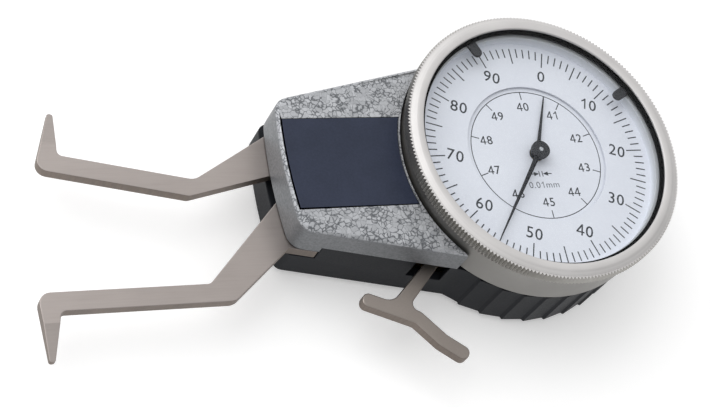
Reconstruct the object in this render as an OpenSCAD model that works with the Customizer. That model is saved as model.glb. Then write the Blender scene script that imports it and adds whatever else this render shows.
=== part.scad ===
// Dial gauge for internal grooves: a fixed and a swinging arm with outward
// contact tips, a finger lever and a two-hand dial with a rotating bezel.
// Millimetres. Origin on the dial axis at the base, +X from the arms to the
// dial, +Y to the zero of the dial, +Z up out of the dial.

/* [Case] */
// Outer radius of the round part of the back case
case_r = 28.3; // [27.5:0.1:29]
// Wall thickness of the back case
wall = 2; // [1.6:0.1:2.2]
// Thickness of the case floor
floor_t = 2; // [1.8:0.1:2.2]
// Height of the parting line between case and cover
case_h = 13.2; // [12.8:0.1:13.6]
// Distance from the dial axis to the front face
front_r = 54.5; // [53:0.5:58]
// Radius of the front face's curve
front_bow_r = 110; // [90:5:140]
// Half width of the body at its front corners
front_half_w = 14.1; // [13.6:0.1:15]
// Slope of each side towards the front, in degrees
taper = 12; // [11:0.25:13]
// Radius of the case's front corners
corner_r = 2; // [1:0.25:3]
// Height of the set-back foot under the case
foot_h = 1.5; // [1:0.1:1.7]
// Set-back of the foot from the case wall
foot_inset = 0.5; // [0.3:0.1:1]
// Number of grip ribs round the case
rib_count = 37; // [24:1:60]
// Depth of the grip ribs
rib_depth = 0.45; // [0.4:0.05:0.9]
// Height of the grip ribs above the case's round
rib_rise = 0.4; // [0.2:0.05:0.5]
// Turn of the ribs, as a share of their spacing
rib_phase = 0.33; // [0:0.01:1]
// Length of the front opening, from the front face back along the sides
notch_len = 6.9; // [6:0.1:8]
// Free length of the lever slot in front of the stem
slot_spare = 0.6; // [0.4:0.1:3]

/* [Cover] */
// Height of the cover above the parting line
cover_h = 6.2; // [5.8:0.1:6.6]
// Wall thickness of the cover
cover_wall = 1.8; // [1.4:0.1:2]
// Radius of the cover's front corners
cover_corner_r = 3.5; // [3:0.25:5]
// Size of the soft edge round the cover's top
cover_edge = 0.5; // [0.4:0.1:1.2]
// Set-back of the bezel's collar from the case's side
collar_step = 1.3; // [1.05:0.05:1.8]
// Clearance between the collar and the bezel's retaining ring
collar_gap = 1.2; // [1:0.1:1.8]
// Thickness of the skirt that locates the cover in the case
skirt_t = 1.2; // [1:0.1:1.4]
// Width of the name plate
plate_w = 19.2; // [16:0.2:20]
// Thickness of the name plate
plate_t = 0.5; // [0.4:0.05:0.7]
// Margin between the name plate and the front face
plate_margin = 1.05; // [0.9:0.05:4]

/* [Arms] */
// Distance from the dial axis to the fixed contact tip, along X
reach = 101.4; // [96:0.2:106]
// Distance between the contact tips at rest
tips_gap = 50.6; // [49:0.1:52]
// How much nearer the moving tip is to the dial than the fixed tip
tips_lead = 6.4; // [5:0.1:8]
// Centre line of the fixed arm's front strip, below the dial axis
strip_drop = 22.5; // [22:0.1:23.5]
// Width of the front strip of both arms
strip_w = 3.8; // [3.2:0.1:4.4]
// Thickness of the arms and of the lever
arm_t = 2.4; // [2.2:0.1:2.6]
// Depth of the sector plate on the arms below the parting line
sector_drop = 1; // [0.8:0.1:1.2]
// Length of a contact tip beyond its strip
tip_len = 9.2; // [8:0.1:10]
// Width of a contact tip at its root
tip_root_w = 3.9; // [3.4:0.1:4.4]
// Width of a contact tip at its end
tip_end_w = 1.1; // [1:0.05:1.6]
// Length of the ground taper on a contact tip
tip_ground = 7; // [5:0.1:8]
// Thickness left at the end of a contact tip
tip_end_t = 1.2; // [0.8:0.1:1.6]
// Forward lean of the fixed contact tip
tip_lean = 0.7; // [0:0.1:1]
// Distance of the fixed arm's elbow from its tip, along the strip
fixed_elbow = 30.8; // [28:0.1:33]
// Extra length of the fixed arm's lower edge before its bend
fixed_elbow_step = 4.4; // [3:0.1:5]
// Angle of the fixed arm's rear leg, in degrees
fixed_rear = 45; // [42:0.5:47]
// Angle of the moving arm's strip below X at rest, in degrees
moving_tilt = 12.9; // [12:0.1:14]
// Distance of the moving arm's elbow from its tip, along the strip
moving_elbow = 28.6; // [27:0.1:30]
// Angle of the upper edge of the moving arm's rear leg, in degrees
moving_rear = 29.5; // [28:0.5:31]
// Angle of the lower edge of the moving arm's rear leg, in degrees
moving_rear_low = 12.5; // [11:0.5:14]

/* [Pivot and lever] */
// Distance of the pivot behind the front face, along X
pivot_in = 15; // [14.5:0.1:16]
// Offset of the pivot from the dial axis, along Y
pivot_dy = 5; // [4.6:0.1:5.2]
// Radius of the pivot pin
pivot_r = 2; // [1.8:0.1:2.2]
// Radius of the moving arm's hub
hub_r = 6.8; // [6.4:0.1:7]
// Full swing of the moving arm, in degrees
swing = 11.6; // [10:0.1:12]
// Distance of the lever's root pad from the dial axis, along X
pad_dx = 19.1; // [18.6:0.1:19.6]
// Clearance between the lever's root pad and the cover's skirt
pad_gap = 1; // [0.6:0.1:1.4]
// Radius of the lever's root pad
pad_r = 3; // [2.8:0.1:3.2]
// Length of the lever's stem, from pad to cross bar
stem_len = 20.6; // [19.6:0.1:21.6]
// Angle of the lever's stem, in degrees
stem_angle = 43.5; // [42.5:0.5:44.5]
// Width of the lever's stem at the cross bar
stem_w = 3.2; // [2.6:0.1:3.6]
// Width of the lever's stem at its root
stem_neck = 2; // [1.4:0.1:2.4]
// Width of the lever's finger wings
wing_w = 2.9; // [2.4:0.1:3.4]
// Length of the lever's front wing
wing_front = 7.2; // [6:0.1:9]
// Angle of the front wing, in degrees
wing_front_angle = 156; // [152:1:160]
// Length of the cross bar from the stem to the knee of the rear wing
wing_knee = 4.5; // [4:0.1:5]
// Length of the rear wing's steep stretch
wing_mid = 6.6; // [5:0.1:8]
// Angle of the rear wing's steep stretch, in degrees
wing_mid_angle = -50; // [-54:1:-46]
// Length of the rear wing's end
wing_end = 5.8; // [4:0.1:8]
// Angle of the rear wing's end, in degrees
wing_end_angle = -38.5; // [-42:0.5:-35]

/* [Dial] */
// Height of the fixed inner dial's face
dial_z = 20.2; // [20:0.1:20.6]
// Radius of the fixed inner dial
dial_r = 16.8; // [16.2:0.1:17.4]
// Inner radius of the turning dial ring
ring_in_r = 15.4; // [15:0.1:15.8]
// Thickness of the dial sheets
dial_t = 0.5; // [0.4:0.05:0.6]
// Distance of the long hand's point from the dark ring
long_hand_gap = 2.6; // [1.7:0.1:5.7]
// Length of the short hand from the dial axis
short_hand = 13.9; // [12:0.1:14.6]
// Radius of the long hand's hub
hand_hub_r = 1.95; // [1.6:0.05:2.2]
// Angle of the long hand at rest, clockwise from the dial's zero
long_angle = 216.4; // [0:0.1:360]
// Angle of the short hand at rest, clockwise from the dial's zero
short_angle = 21; // [0:0.1:360]

/* [Bezel] */
// Thickness of the bezel's smooth band round the collar
band_t = 1.8; // [1.4:0.1:2]
// Stand-out of the knurled rim from the band
knurl_t = 1; // [0.4:0.1:1.6]
// Height of the knurled rim
knurl_h = 3.6; // [3:0.1:4]
// Width of the bezel's lip over the crystal
lip_w = 0.4; // [0.35:0.05:1]
// Height of the crystal's top above the inner dial
crystal_top = 4.9; // [4.6:0.1:5.2]
// Thickness of the crystal
crystal_t = 1; // [0.8:0.1:1.2]
// Thickness of the bezel's lip over the crystal
lip_t = 0.5; // [0.4:0.05:0.7]
// Width of the dark ring under the crystal
shade_w = 1.3; // [1:0.1:1.7]
// Width of a limit marker
marker_w = 2.2; // [1.8:0.1:2.8]
// Reach of a limit marker inwards from the bezel's wall
marker_len = 4.2; // [3:0.1:5]
// Angles of the two limit markers, counter-clockwise from +X
marker_angles = [113, 29]; // [0:1:360]

/* [Movement] */
// Thickness of the chassis plate
chassis_t = 1.5; // [1.2:0.1:1.6]
// Teeth of the small pinions
pinion_teeth = 8; // [8:1:10]
// Ratio of the sector to its pinion
sector_ratio = 30; // [28:1:31]
// How far the sector's mesh falls short of the dial axis
sector_short = 7.575; // [7:0.005:8.8]
// Teeth of the transfer wheel
wheel_teeth = 96; // [90:2:98]
// Clearance between the transfer wheel and the cover's bore
wheel_gap = 0.734; // [0.7:0.002:1.7]
// Teeth of the short hand's driver
driver_teeth = 48; // [44:4:52]
// Teeth of the short hand's wheel
mm_teeth = 40; // [36:4:44]
// Thickness of the sector plate
sector_t = 1; // [0.8:0.1:1]
// Thickness of the gear wheels
wheel_t = 0.6; // [0.5:0.05:0.7]
// Radius of the first arbor's shaft
arbor_r = 0.6; // [0.5:0.05:0.65]
// Radius of the centre arbor's shaft
centre_r = 0.45; // [0.4:0.05:0.5]
// Wall of the short hand's hollow shaft
cannon_wall = 0.5; // [0.4:0.05:0.6]
// Thickness of the bridge
bridge_t = 1; // [0.8:0.1:1.2]
// Distance of the bridge's pillars from the cover's bore
pillar_inset = 3.95; // [3.45:0.05:4.45]
// Radius of a bridge pillar
pillar_r = 1.6; // [1.4:0.1:1.8]
// Turns of the return spring
coil_turns = 14; // [10:1:16]
// Wire radius of the return spring
coil_wire_r = 0.25; // [0.2:0.05:0.3]
// Mean radius of the return spring's coils
coil_r = 1.4; // [1.2:0.1:1.6]
// Distance of the return spring's fixed end from the dial axis
spring_post_r = 13.6; // [13:0.1:14]

/* [Fits] */
// Radial clearance of a running fit
run_gap = 0.05; // [0.02:0.01:0.1]
// Clearance of parts that seat in one another
seat_gap = 0.02; // [0.01:0.01:0.05]
// Clearance between the skirt and the case
fit_gap = 0.15; // [0.1:0.05:0.25]
// Clearance between parts that pass each other
pass_gap = 0.3; // [0.25:0.05:0.4]
// Radius of the small screws' shanks
screw_r = 1; // [0.8:0.1:1.1]
// Radius of the small screws' heads
head_r = 1.9; // [1.7:0.1:2]
// Height of the small screws' heads
head_h = 1.2; // [1:0.1:1.3]

/* [Hidden] */
$fn = 96;
eps = 0.01;
big = 200;

pivot_dx = front_r - pivot_in;
pivot = [-pivot_dx, pivot_dy];
front_mid = [front_bow_r - front_r, 0];
front_x = front_mid.x - sqrt(front_bow_r * front_bow_r - front_half_w * front_half_w);
sector_top = case_h - sector_drop;
arm_top = sector_top - sector_t;
arm_z = arm_top - arm_t;
notch_x = front_x + notch_len - (front_r + front_x);
cover_top = case_h + cover_h;
chassis_top = floor_t + chassis_t;
case_in_r = case_r - wall;
bore_r = case_in_r - fit_gap - skirt_t;
screw_hole = screw_r + run_gap;
screw_slot = 0.5;
spare = 1;

// Heights of the movement, stacked upwards from the arms
stack_gap = 0.8;
wheel_z = sector_top + stack_gap;
mm_z = wheel_z + wheel_t + stack_gap;
bridge_z = mm_z + wheel_t + stack_gap;
bridge_top = bridge_z + bridge_t;
dial_under = dial_z - dial_t;
hub_rise = 0.4;
hub_wall = 1;
pinion_rise = 0.3;
journal_step = 0.1;

// Radii of the bezel and what it holds, from the collar that it turns on
collar_r = case_r - collar_step;
band_r = collar_r + band_t;
knurl_r = band_r + knurl_t;
window_r = collar_r - lip_w;
shade_in_r = collar_r - shade_w;
marker_in_r = collar_r - marker_len;

// Hands
long_hand = shade_in_r - long_hand_gap;
hand_gap = 0.5;
hand_t = 0.25;
hand_end_w = 0.24;
hand_hub_h = 0.85;
short_z = dial_z + hand_gap;
long_z = short_z + 2 * hand_gap;

// Heights of the bezel's stack, from its lower edge up to the lip
bezel_z = case_h + pass_gap;
ring_z = dial_z + pass_gap;
ring_top = ring_z + 0.6 * dial_t;
retainer_t = 0.5;
collar_h = ring_z - retainer_t - collar_gap - case_h;
retainer_step = 0.6;
retainer_r = collar_r + retainer_step;
crystal_z = dial_z + crystal_top - crystal_t;
bezel_top = dial_z + crystal_top + lip_t;
bezel_in_r = collar_r + run_gap;
bezel_slope = 0.5;
crown_w = 1.5;
marker_t = 0.6;
marker_z = crystal_z - marker_t - pass_gap;
ledge_z = marker_z - 2 * run_gap;
shade_rim = 0.5;
shade_lip = 1.05;
shade_lip_z = marker_z + marker_t + run_gap;
wire_r = 0.45;
wire_z = case_h + collar_h / 2;
cover_gap = 0.5;
plate_end = 0.5;
plate_gap = cover_gap + plate_end;
plate_rise = 0.1;

// Tooth modules: the wheel fills the cover's bore and the sector reaches its arbor
wheel_add = 0.9;
pinion_add = 0.7;
wheel_module = (bore_r - wheel_gap) / (wheel_teeth + pinion_teeth / 2 + wheel_add);
train_gap = wheel_module * (wheel_teeth + pinion_teeth) / 2;
mm_module = 2 * train_gap / (driver_teeth + mm_teeth);
pivot_gap = norm(pivot);
sector_gap = pivot_gap - sector_short;
pinion_r = sector_gap / (sector_ratio + 1);
sector_r = pinion_r * sector_ratio;
sector_module = 2 * pinion_r / pinion_teeth;

// Place of the first arbor
along = (pivot_gap * pivot_gap + sector_gap * sector_gap - train_gap * train_gap) / (2 * pivot_gap);
across = sqrt(sector_gap * sector_gap - along * along);
inward = -pivot / pivot_gap;
arbor = pivot + along * inward + across * [-inward.y, inward.x];
mesh_angle = heading(pivot, arbor);
train_angle = heading(arbor, [0, 0]);
tooth_step = 360 / (sector_ratio * pinion_teeth);
spare_teeth = 2;

// Contact tips and the frames of the two arms
fixed_tip = [-reach - tip_lean, -strip_drop - strip_w / 2 - tip_len];
moving_tip = fixed_tip + [tips_lead, sqrt(tips_gap * tips_gap - tips_lead * tips_lead)];
moving_root = moving_tip - turn([0, strip_w / 2 + tip_len], -moving_tilt);
moving_bend = moving_root + turn([moving_elbow, strip_w / 2], -moving_tilt);
moving_bend_low = moving_root + turn([moving_elbow - 0.8, -strip_w / 2], -moving_tilt);
heel_r = 2.2;
crook_r = 1.2;
bend_r = 1.5;
bend_out_r = 3;
nose_r = tip_end_w / 2.2;

// Foot of the fixed arm inside the case and the screws that hold it
foot_back = 1.5;
foot_drop = 2;
foot_slope = 2.2;
foot_hold = 3;
foot_pitch = 4.33;
foot_hold_gap = 1.2;
foot_end_x = pivot.x - foot_back;
foot_top = pivot.y - hub_r - foot_drop;
foot_screws = [for (x = [foot_end_x - foot_hold - foot_pitch, foot_end_x - foot_hold])
    [x, head_r + foot_hold_gap - side_y(x, wall + fit_gap + skirt_t)]];
spacer_r = 2;

// Lever: the cross bar hangs on the end of the stem
pad = [-pad_dx, pad_r + pad_gap - side_y(-pad_dx, wall + fit_gap + skirt_t)];
bar = pad - stem_len * dir(stem_angle);
stem_left = [for (p = [[pad, stem_neck], [bar, stem_w]]) p[0] + p[1] / 2 * dir(stem_angle + 90)];
stem_right = [for (p = [[pad, stem_neck], [bar, stem_w]]) p[0] - p[1] / 2 * dir(stem_angle + 90)];
sector_low = heading(pivot, pad);
slot_drop = 1.5;

// Screw bosses of the cover and pillars of the bridge
boss_r = 2.2;
boss_inset = wall + boss_r + pass_gap;
boss_front = hit([0, side_y(0, boss_inset)], 180 + taper, pivot, hub_r + boss_r + 2 * pass_gap);
boss_spots = [boss_front, [boss_front.x, -boss_front.y],
    for (a = [33, -33]) (case_r - boss_inset) * dir(a)];
boss_screw_len = 8;
head_sink = 0.2;
pillar_circle = bore_r - pillar_inset;
pillar_angles = [75, -20, -115];
pillar_spots = [for (a = pillar_angles) pillar_circle * dir(a)];
lobe_rim = 1.4;
lobe_r = pillar_r + lobe_rim;
bridge_hub_r = 2 * lobe_r;
post_r = 1.2;
post_circle = pillar_circle / 2;

// Pivot: its shoulder and its clip hold the hub of the moving arm between them
flange_t = 0.8;
bush_wall = 1.2;
bush_r = pivot_r + bush_wall;
flange_inset = 2.6;
flange_r = hub_r - flange_inset;
bush_rise = 0.3;
pin_step = 0.2;
shoulder_z = arm_z - flange_t - 2 * run_gap;
clip_z = sector_top + bush_rise + 2 * run_gap;
clip_t = 0.5;
clip_depth = 0.4;
clip_rim = 1.6;
clip_r = pivot_r + clip_rim;

// Rivets that hold the arm, the lever and the sector together
rivet_r = 0.8;
rivet_head = 0.4;
rivet_rim = 0.2;
rivet_inset = 1.4;
hub_rivet_spots = [for (a = [100, 250]) pivot + (hub_r - rivet_inset) * dir(a)];
lever_rivet_spots = [for (s = [-1, 1]) pad + s * pad_r / 2 * dir(stem_angle + 90)];

// Stop beside the sector plate, just clear of it when the tips are fully open
stop_r = 1;
stop_along = 20;
stop_plate_r = hub_r - (hub_r - pad_r) * stop_along / norm(pad - pivot);
stop_spot = pivot + stop_along * dir(sector_low)
    - (stop_plate_r + stop_r + pass_gap) * dir(sector_low + 90);

// Return spring: a hook round a grooved pin at each end, two leads and the coils
hook_arm = 20;
hook_in = pivot + hook_arm * dir(-3);
hook_out = spring_post_r * dir(-107);
hook_r = 0.7;
hook_rim = 0.5;
hook_over = 1;
groove_h = 0.7;
groove_depth = 0.2;
loop_r = hook_r - groove_depth + coil_wire_r + run_gap;
coil_z = (chassis_top + arm_z) / 2;
coil_len = norm(hook_out - hook_in);
lead = 2.4;
coil_rings = coil_turns * 10;

// Flat spiral that takes up the play of the gears, round the short hand's shaft
mm_hub_wall = 0.4;
mm_hub_r = centre_r + cannon_wall + run_gap + mm_hub_wall;
spiral_w = 0.2;
spiral_start = mm_hub_r + spiral_w;
spiral_h = 0.5;
spiral_turns = 5;
stud_r = 0.5;
stud_out = 0.6;
stud_circle = bridge_hub_r + stud_out;

function dir(a) = [cos(a), sin(a)];
function turn(p, a) = [p.x * cos(a) - p.y * sin(a), p.x * sin(a) + p.y * cos(a)];
function wrap(a) = a > 180 ? a - 360 : a < -180 ? a + 360 : a;
function unit(v) = v / norm(v);
function heading(p, q) = atan2(q.y - p.y, q.x - p.x);

// Crossing of the line through p at angle a with the line through q at angle b
function meet(p, a, q, b) =
    let (d = q - p, s = (d.x * sin(b) - d.y * cos(b)) / (cos(a) * sin(b) - sin(a) * cos(b)))
    p + s * dir(a);

// First crossing of the line through p at angle a with the circle of radius r round c
function hit(p, a, c, r) =
    let (s = (c - p) * dir(a), h = norm(c - p - s * dir(a)))
    p + (s - sqrt(max(0, r * r - h * h))) * dir(a);

// Outline of a flat link round two circles, with straight tangents
function link_outline(p, rp, q, rq) =
    let (a = heading(p, q), b = acos((rp - rq) / norm(q - p)), n = 24)
    concat([for (i = [0 : n]) p + rp * dir(a + b + (360 - 2 * b) * i / n)],
        [for (i = [0 : n]) q + rq * dir(a - b + 2 * b * i / n)]);

// Arc that takes the place of the corner q between p and s
function corner_arc(p, q, s, r, n) =
    let (u = unit(p - q), v = unit(s - q), half = acos(u * v) / 2, c = q + unit(u + v) * r / sin(half),
        a = q + u * r / tan(half) - c, b = q + v * r / tan(half) - c, start = atan2(a.y, a.x),
        sweep = wrap(atan2(b.y, b.x) - start))
    [for (i = [0 : n]) c + r * dir(start + sweep * i / n)];

// Outline whose points are [x, y, corner radius]
function rounded(pts) =
    let (n = len(pts), flat = [for (p = pts) [p.x, p.y]])
    [for (i = [0 : n - 1]) each pts[i].z > 0
        ? corner_arc(flat[(i + n - 1) % n], flat[i], flat[(i + 1) % n], pts[i].z, 6) : [flat[i]]];

// Half width of the tapered body at x, and the corner of its inset outline
function side_y(x, inset = 0) = front_half_w + tan(taper) * (x - front_x) - inset / cos(taper);
function front_corner(inset) =
    let (k = tan(taper), c = side_y(front_mid.x, inset), r = front_bow_r - inset,
        x = front_mid.x + (-k * c - sqrt(r * r * (1 + k * k) - c * c)) / (1 + k * k))
    [x, side_y(x, inset)];

// Tapered body outline, inset from the outer faces, with its two front corners rounded
function taper_outline(inset, r, end_x = 0) =
    let (c = front_corner(inset + r), a_front = heading(front_mid, c), a_side = 90 + taper, n = 6, m = 20,
        upper = [for (i = [0 : n]) c + r * dir(a_side + (a_front - a_side) * i / n)])
    concat([[end_x, side_y(end_x, inset)]], upper,
        [for (i = [1 : m - 1]) front_mid + (front_bow_r - inset) * dir(a_front + (360 - 2 * a_front) * i / m)],
        [for (i = [n : -1 : 0]) [upper[i].x, -upper[i].y]], [[end_x, -side_y(end_x, inset)]]);

// Gear outline; the teeth are shares of the pitch, thin enough to run with backlash
function tooth(r, m, add, share, a, step) =
    [for (p = [[-1.25, -0.55], [0, -0.5], [add, -0.25], [add, 0.25], [0, 0.5], [-1.25, 0.55]])
        (r + p.x * m) * dir(a + p.y * share * step)];
function gear(teeth, m, add, share, phase) =
    let (step = 360 / teeth)
    [for (i = [0 : teeth - 1]) each tooth(m * teeth / 2, m, add, share, phase + i * step, step)];

module slab(z, h) {
    translate([0, 0, z]) linear_extrude(h) children();
}

module disc(p, z, h, r) {
    translate([p.x, p.y, z]) cylinder(h = h, r = r);
}

module ring(p, z, h, r_out, r_in) {
    difference() {
        disc(p, z, h, r_out);
        disc(p, z - eps, h + 2 * eps, r_in);
    }
}

// Slotted screw with its head's seat at z, its shank pointing down
module screw(p, z, length) {
    difference() {
        union() {
            disc(p, z - length, length + eps, screw_r);
            disc(p, z, head_h, head_r);
        }
        translate([p.x, p.y, z + head_h]) cube([2 * head_r + spare, screw_slot, head_h], center = true);
    }
}

// Rivet through the arm's plane and the sector plate on it
module rivet(p) {
    disc(p, arm_z - rivet_head, sector_top - arm_z + 2 * rivet_head, rivet_r);
    disc(p, arm_z - rivet_head, rivet_head, rivet_r + rivet_rim);
    disc(p, sector_top, rivet_head, rivet_r + rivet_rim);
}

// Pin with a groove that takes the hook of the return spring
module hook_pin(p, z, top) {
    difference() {
        disc(p, z, top - z, hook_r);
        ring(p, coil_z - groove_h / 2, groove_h, hook_r + spare, hook_r - groove_depth);
    }
}

module body_outline(inset, corner) {
    circle(case_r - inset);
    polygon(taper_outline(inset, corner));
}

module ribbed_outline() {
    step = 360 / rib_count;
    polygon([for (i = [0 : rib_count - 1], p = [[0, 0], [0.86, rib_depth], [0.93, rib_depth]])
        (case_r + rib_rise - p.y) * dir((i + p.x + rib_phase) * step)]);
    polygon(taper_outline(0, corner_r, -2));
}

// Fixed pieces

// Slot that the lever's stem sweeps through, from rest to full swing
module slot_cut() {
    out = [0, -side_y(0, -spare)];
    in = [0, -side_y(0, wall + spare)];
    full = heading(stem_right[1], stem_right[0]) + swing;
    edge = pivot + turn(stem_right[1] - pivot, swing) + pass_gap * dir(full - 90);
    left_x = meet(bar, stem_angle, out, -taper).x - stem_w / 2 - slot_spare;
    z = arm_z - slot_drop;
    slab(z, case_h - z + eps) polygon([
        [left_x, -side_y(left_x, -spare)],
        meet(edge, full, out, -taper),
        meet(edge, full, in, -taper),
        [left_x, -side_y(left_x, wall + spare)]]);
}

module back_case() {
    color("#2c2d31") difference() {
        union() {
            slab(foot_h, case_h - foot_h) ribbed_outline();
            slab(0, foot_h + eps) body_outline(rib_depth + foot_inset, corner_r);
        }
        slab(floor_t, case_h) body_outline(wall, corner_r / 2);
        translate([-big, -big / 2, arm_z - pass_gap]) cube([big + notch_x, big, case_h]);
        slot_cut();
        for (p = boss_spots) {
            disc(p, -eps, floor_t + 2 * eps, screw_hole);
            disc(p, -eps, head_sink + head_h + eps, head_r + pass_gap);
        }
    }
}

module cover_shell() {
    difference() {
        union() {
            hull() {
                slab(case_h, cover_h - cover_edge) polygon(taper_outline(0, cover_corner_r));
                slab(cover_top - eps, eps) polygon(taper_outline(cover_edge, cover_corner_r));
            }
            intersection() {
                slab(arm_top + pass_gap, case_h) polygon(taper_outline(0, cover_corner_r));
                translate([-big, -big / 2, 0]) cube([big + notch_x - fit_gap, big, case_h + eps]);
            }
        }
        slab(0, cover_top - cover_wall) polygon(taper_outline(cover_wall, cover_corner_r - cover_wall));
        disc([0, 0], 0, big, band_r + cover_gap);
        slab(cover_top - plate_t + plate_rise, big) plate_outline(fit_gap);
    }
}

module cover_skirt() {
    z = arm_top + pass_gap;
    difference() {
        slab(z, case_h - z + eps) body_outline(wall + fit_gap, corner_r / 2);
        slab(z - eps, big) body_outline(wall + fit_gap + skirt_t, corner_r / 2);
    }
}

module front_cover() {
    color("#9a9c9f") difference() {
        union() {
            cover_shell();
            cover_skirt();
            ring([0, 0], case_h, collar_h, collar_r, bore_r);
            for (i = [0 : 3]) {
                top = i < 2 ? cover_top - cover_wall : case_h;
                disc(boss_spots[i], chassis_top, top - chassis_top + eps, boss_r);
            }
        }
        for (p = boss_spots) disc(p, 0, head_sink + head_h + boss_screw_len + spare, screw_hole);
        rotate_extrude() translate([collar_r, wire_z]) circle(wire_r + seat_gap, $fn = 32);
    }
}

module plate_outline(gap) {
    difference() {
        intersection() {
            translate(front_mid) circle(front_bow_r - plate_margin + gap);
            translate([-big, -plate_w / 2 - gap]) square([big, plate_w + 2 * gap]);
        }
        circle(band_r + plate_gap - gap);
    }
}

module name_plate() {
    color("#3d4252") slab(cover_top - plate_t + plate_rise, plate_t) plate_outline(0);
}

module chassis_plate() {
    color("#b9a15a") difference() {
        slab(floor_t, chassis_t) body_outline(wall + pass_gap, corner_r / 2);
        for (p = concat(boss_spots, foot_screws, pillar_spots)) disc(p, 0, big, screw_hole);
        disc(pivot, 0, big, pivot_r - pin_step + seat_gap);
        disc(arbor, 0, big, arbor_r - journal_step + run_gap);
        disc([0, 0], 0, big, centre_r + run_gap);
        disc(stop_spot, 0, big, stop_r + seat_gap);
        disc(hook_out, 0, big, hook_r + seat_gap);
    }
}

module case_screws() {
    color("#8e8f92") for (p = boss_spots) mirror([0, 0, 1]) screw(p, -head_sink - head_h, boss_screw_len);
}

module fixed_arm() {
    top = -strip_drop + strip_w / 2;
    low = -strip_drop - strip_w / 2;
    bend = [-reach + fixed_elbow, top];
    edge_x = notch_x - pass_gap;
    color("#aaa09b") difference() {
        slab(arm_z, arm_t) difference() {
            polygon(rounded([
                [-reach - tip_root_w / 2, top, heel_r],
                [fixed_tip.x - tip_end_w / 2, fixed_tip.y, nose_r],
                [fixed_tip.x + tip_end_w / 2, fixed_tip.y, nose_r],
                [-reach + tip_root_w / 2, low, crook_r],
                [bend.x + fixed_elbow_step, low, bend_out_r],
                [front_x, -front_half_w, 0],
                [edge_x, -side_y(edge_x), 0],
                [edge_x, -side_y(edge_x, wall + pass_gap), 0],
                [foot_end_x, -side_y(foot_end_x, wall + skirt_t + 1), 1],
                [foot_end_x, foot_top - foot_slope, 1],
                [bend.x + (foot_top - top) / tan(fixed_rear), foot_top, 1],
                [bend.x, top, bend_r]]));
            for (p = foot_screws) translate(p) circle(screw_hole);
        }
        translate([fixed_tip.x, fixed_tip.y, arm_z + tip_end_t]) rotate([0, 0, 180]) tip_wedge();
    }
}

// Space above the ground face of a tip; the tip's end is at the origin and points along +Y
module tip_wedge() {
    rotate([-atan((arm_t - tip_end_t) / tip_ground), 0, 0]) translate([-tip_len, -2 * tip_ground, 0])
        cube([2 * tip_len, 3 * tip_ground, tip_len]);
}

module arm_spacers() {
    color("#8e8f92") for (p = foot_screws) ring(p, chassis_top, arm_z - chassis_top, spacer_r, screw_hole);
}

module arm_screws() {
    color("#8e8f92") for (p = foot_screws) screw(p, arm_top, arm_top - floor_t - pass_gap);
}

module pivot_pin() {
    color("#c9c9c9") difference() {
        union() {
            disc(pivot, floor_t, chassis_t, pivot_r - pin_step);
            disc(pivot, chassis_top, shoulder_z - chassis_top, flange_r);
            disc(pivot, shoulder_z - eps, clip_z + 2 * clip_t - shoulder_z, pivot_r);
        }
        ring(pivot, clip_z, clip_t, pivot_r + spare, pivot_r - clip_depth);
    }
}

// Open clip that snaps into the groove of the pivot pin
module pivot_clip() {
    mouth = pivot_r - clip_depth;
    color("#55565a") difference() {
        ring(pivot, clip_z + seat_gap, clip_t - 2 * seat_gap, clip_r, mouth + seat_gap);
        translate([pivot.x - mouth / 2, pivot.y - 2 * clip_r, sector_top]) cube([mouth, 2 * clip_r, big]);
    }
}

module stop_pin() {
    color("#c9c9c9") disc(stop_spot, floor_t, sector_top - floor_t, stop_r);
}

module spring_post() {
    color("#c9c9c9") hook_pin(hook_out, floor_t, coil_z + hook_over);
}

// Path of the return spring along +X: a hook round each pin, two leads and the coils
function coil_swell(t) = coil_r * min(1, t * coil_turns, (1 - t) * coil_turns);
function coil_point(t) =
    let (a = 360 * coil_turns * t, r = coil_swell(t))
    [lead + t * (coil_len - 2 * lead), r * cos(a), r * sin(a)];
function loop_path(x, start) =
    [for (i = [0 : 10]) let (a = start + 28 * i) [x + loop_r * cos(a), loop_r * sin(a), 0]];
function coil_path() =
    let (coils = [for (i = [0 : coil_rings]) coil_point(i / coil_rings)])
    concat(loop_path(0, 50), coils, loop_path(coil_len, 210));

// Tube of six sides swept along a path, each ring square to the path
module wire(path, r) {
    n = len(path);
    sides = 6;
    last = (n - 1) * sides;
    aside = [0.5, 0, 0.87];
    tangents = [for (i = [0 : n - 1]) unit(path[min(i + 1, n - 1)] - path[max(i - 1, 0)])];
    points = [for (i = [0 : n - 1])
        let (u = unit(cross(tangents[i], aside)), v = cross(tangents[i], u))
        for (k = [0 : sides - 1]) path[i] + r * (cos(60 * k) * u + sin(60 * k) * v)];
    skin = [for (i = [0 : n - 2], k = [0 : sides - 1])
        let (a = i * sides + k, b = i * sides + (k + 1) % sides)
        each [[a, b + sides, b], [a, a + sides, b + sides]]];
    caps = [for (k = [1 : sides - 2]) each [[0, k, k + 1], [last, last + k + 1, last + k]]];
    polyhedron(points, concat(skin, caps));
}

module return_spring() {
    a = heading(hook_in, hook_out);
    color("#8e8f92") translate([hook_in.x, hook_in.y, coil_z]) rotate(a) wire(coil_path(), coil_wire_r);
}

module bridge_outline() {
    circle(bridge_hub_r);
    for (p = concat(pillar_spots, [arbor])) polygon(link_outline([0, 0], bridge_hub_r - 1, p, lobe_r));
}

module bridge_plate() {
    stud = stud_circle * dir(pillar_angles[1]);
    color("#c8ad62") difference() {
        union() {
            slab(bridge_z, bridge_t) bridge_outline();
            disc(stud, mm_z + wheel_t + run_gap, stack_gap, stud_r);
        }
        disc([0, 0], 0, big, centre_r + cannon_wall + 2 * run_gap);
        disc(arbor, 0, big, arbor_r - journal_step + run_gap);
        for (p = pillar_spots) disc(p, 0, big, screw_hole);
    }
}

module bridge_pillars() {
    color("#c8ad62") for (p = pillar_spots)
        ring(p, chassis_top, bridge_z - chassis_top, pillar_r, screw_hole);
}

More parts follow.
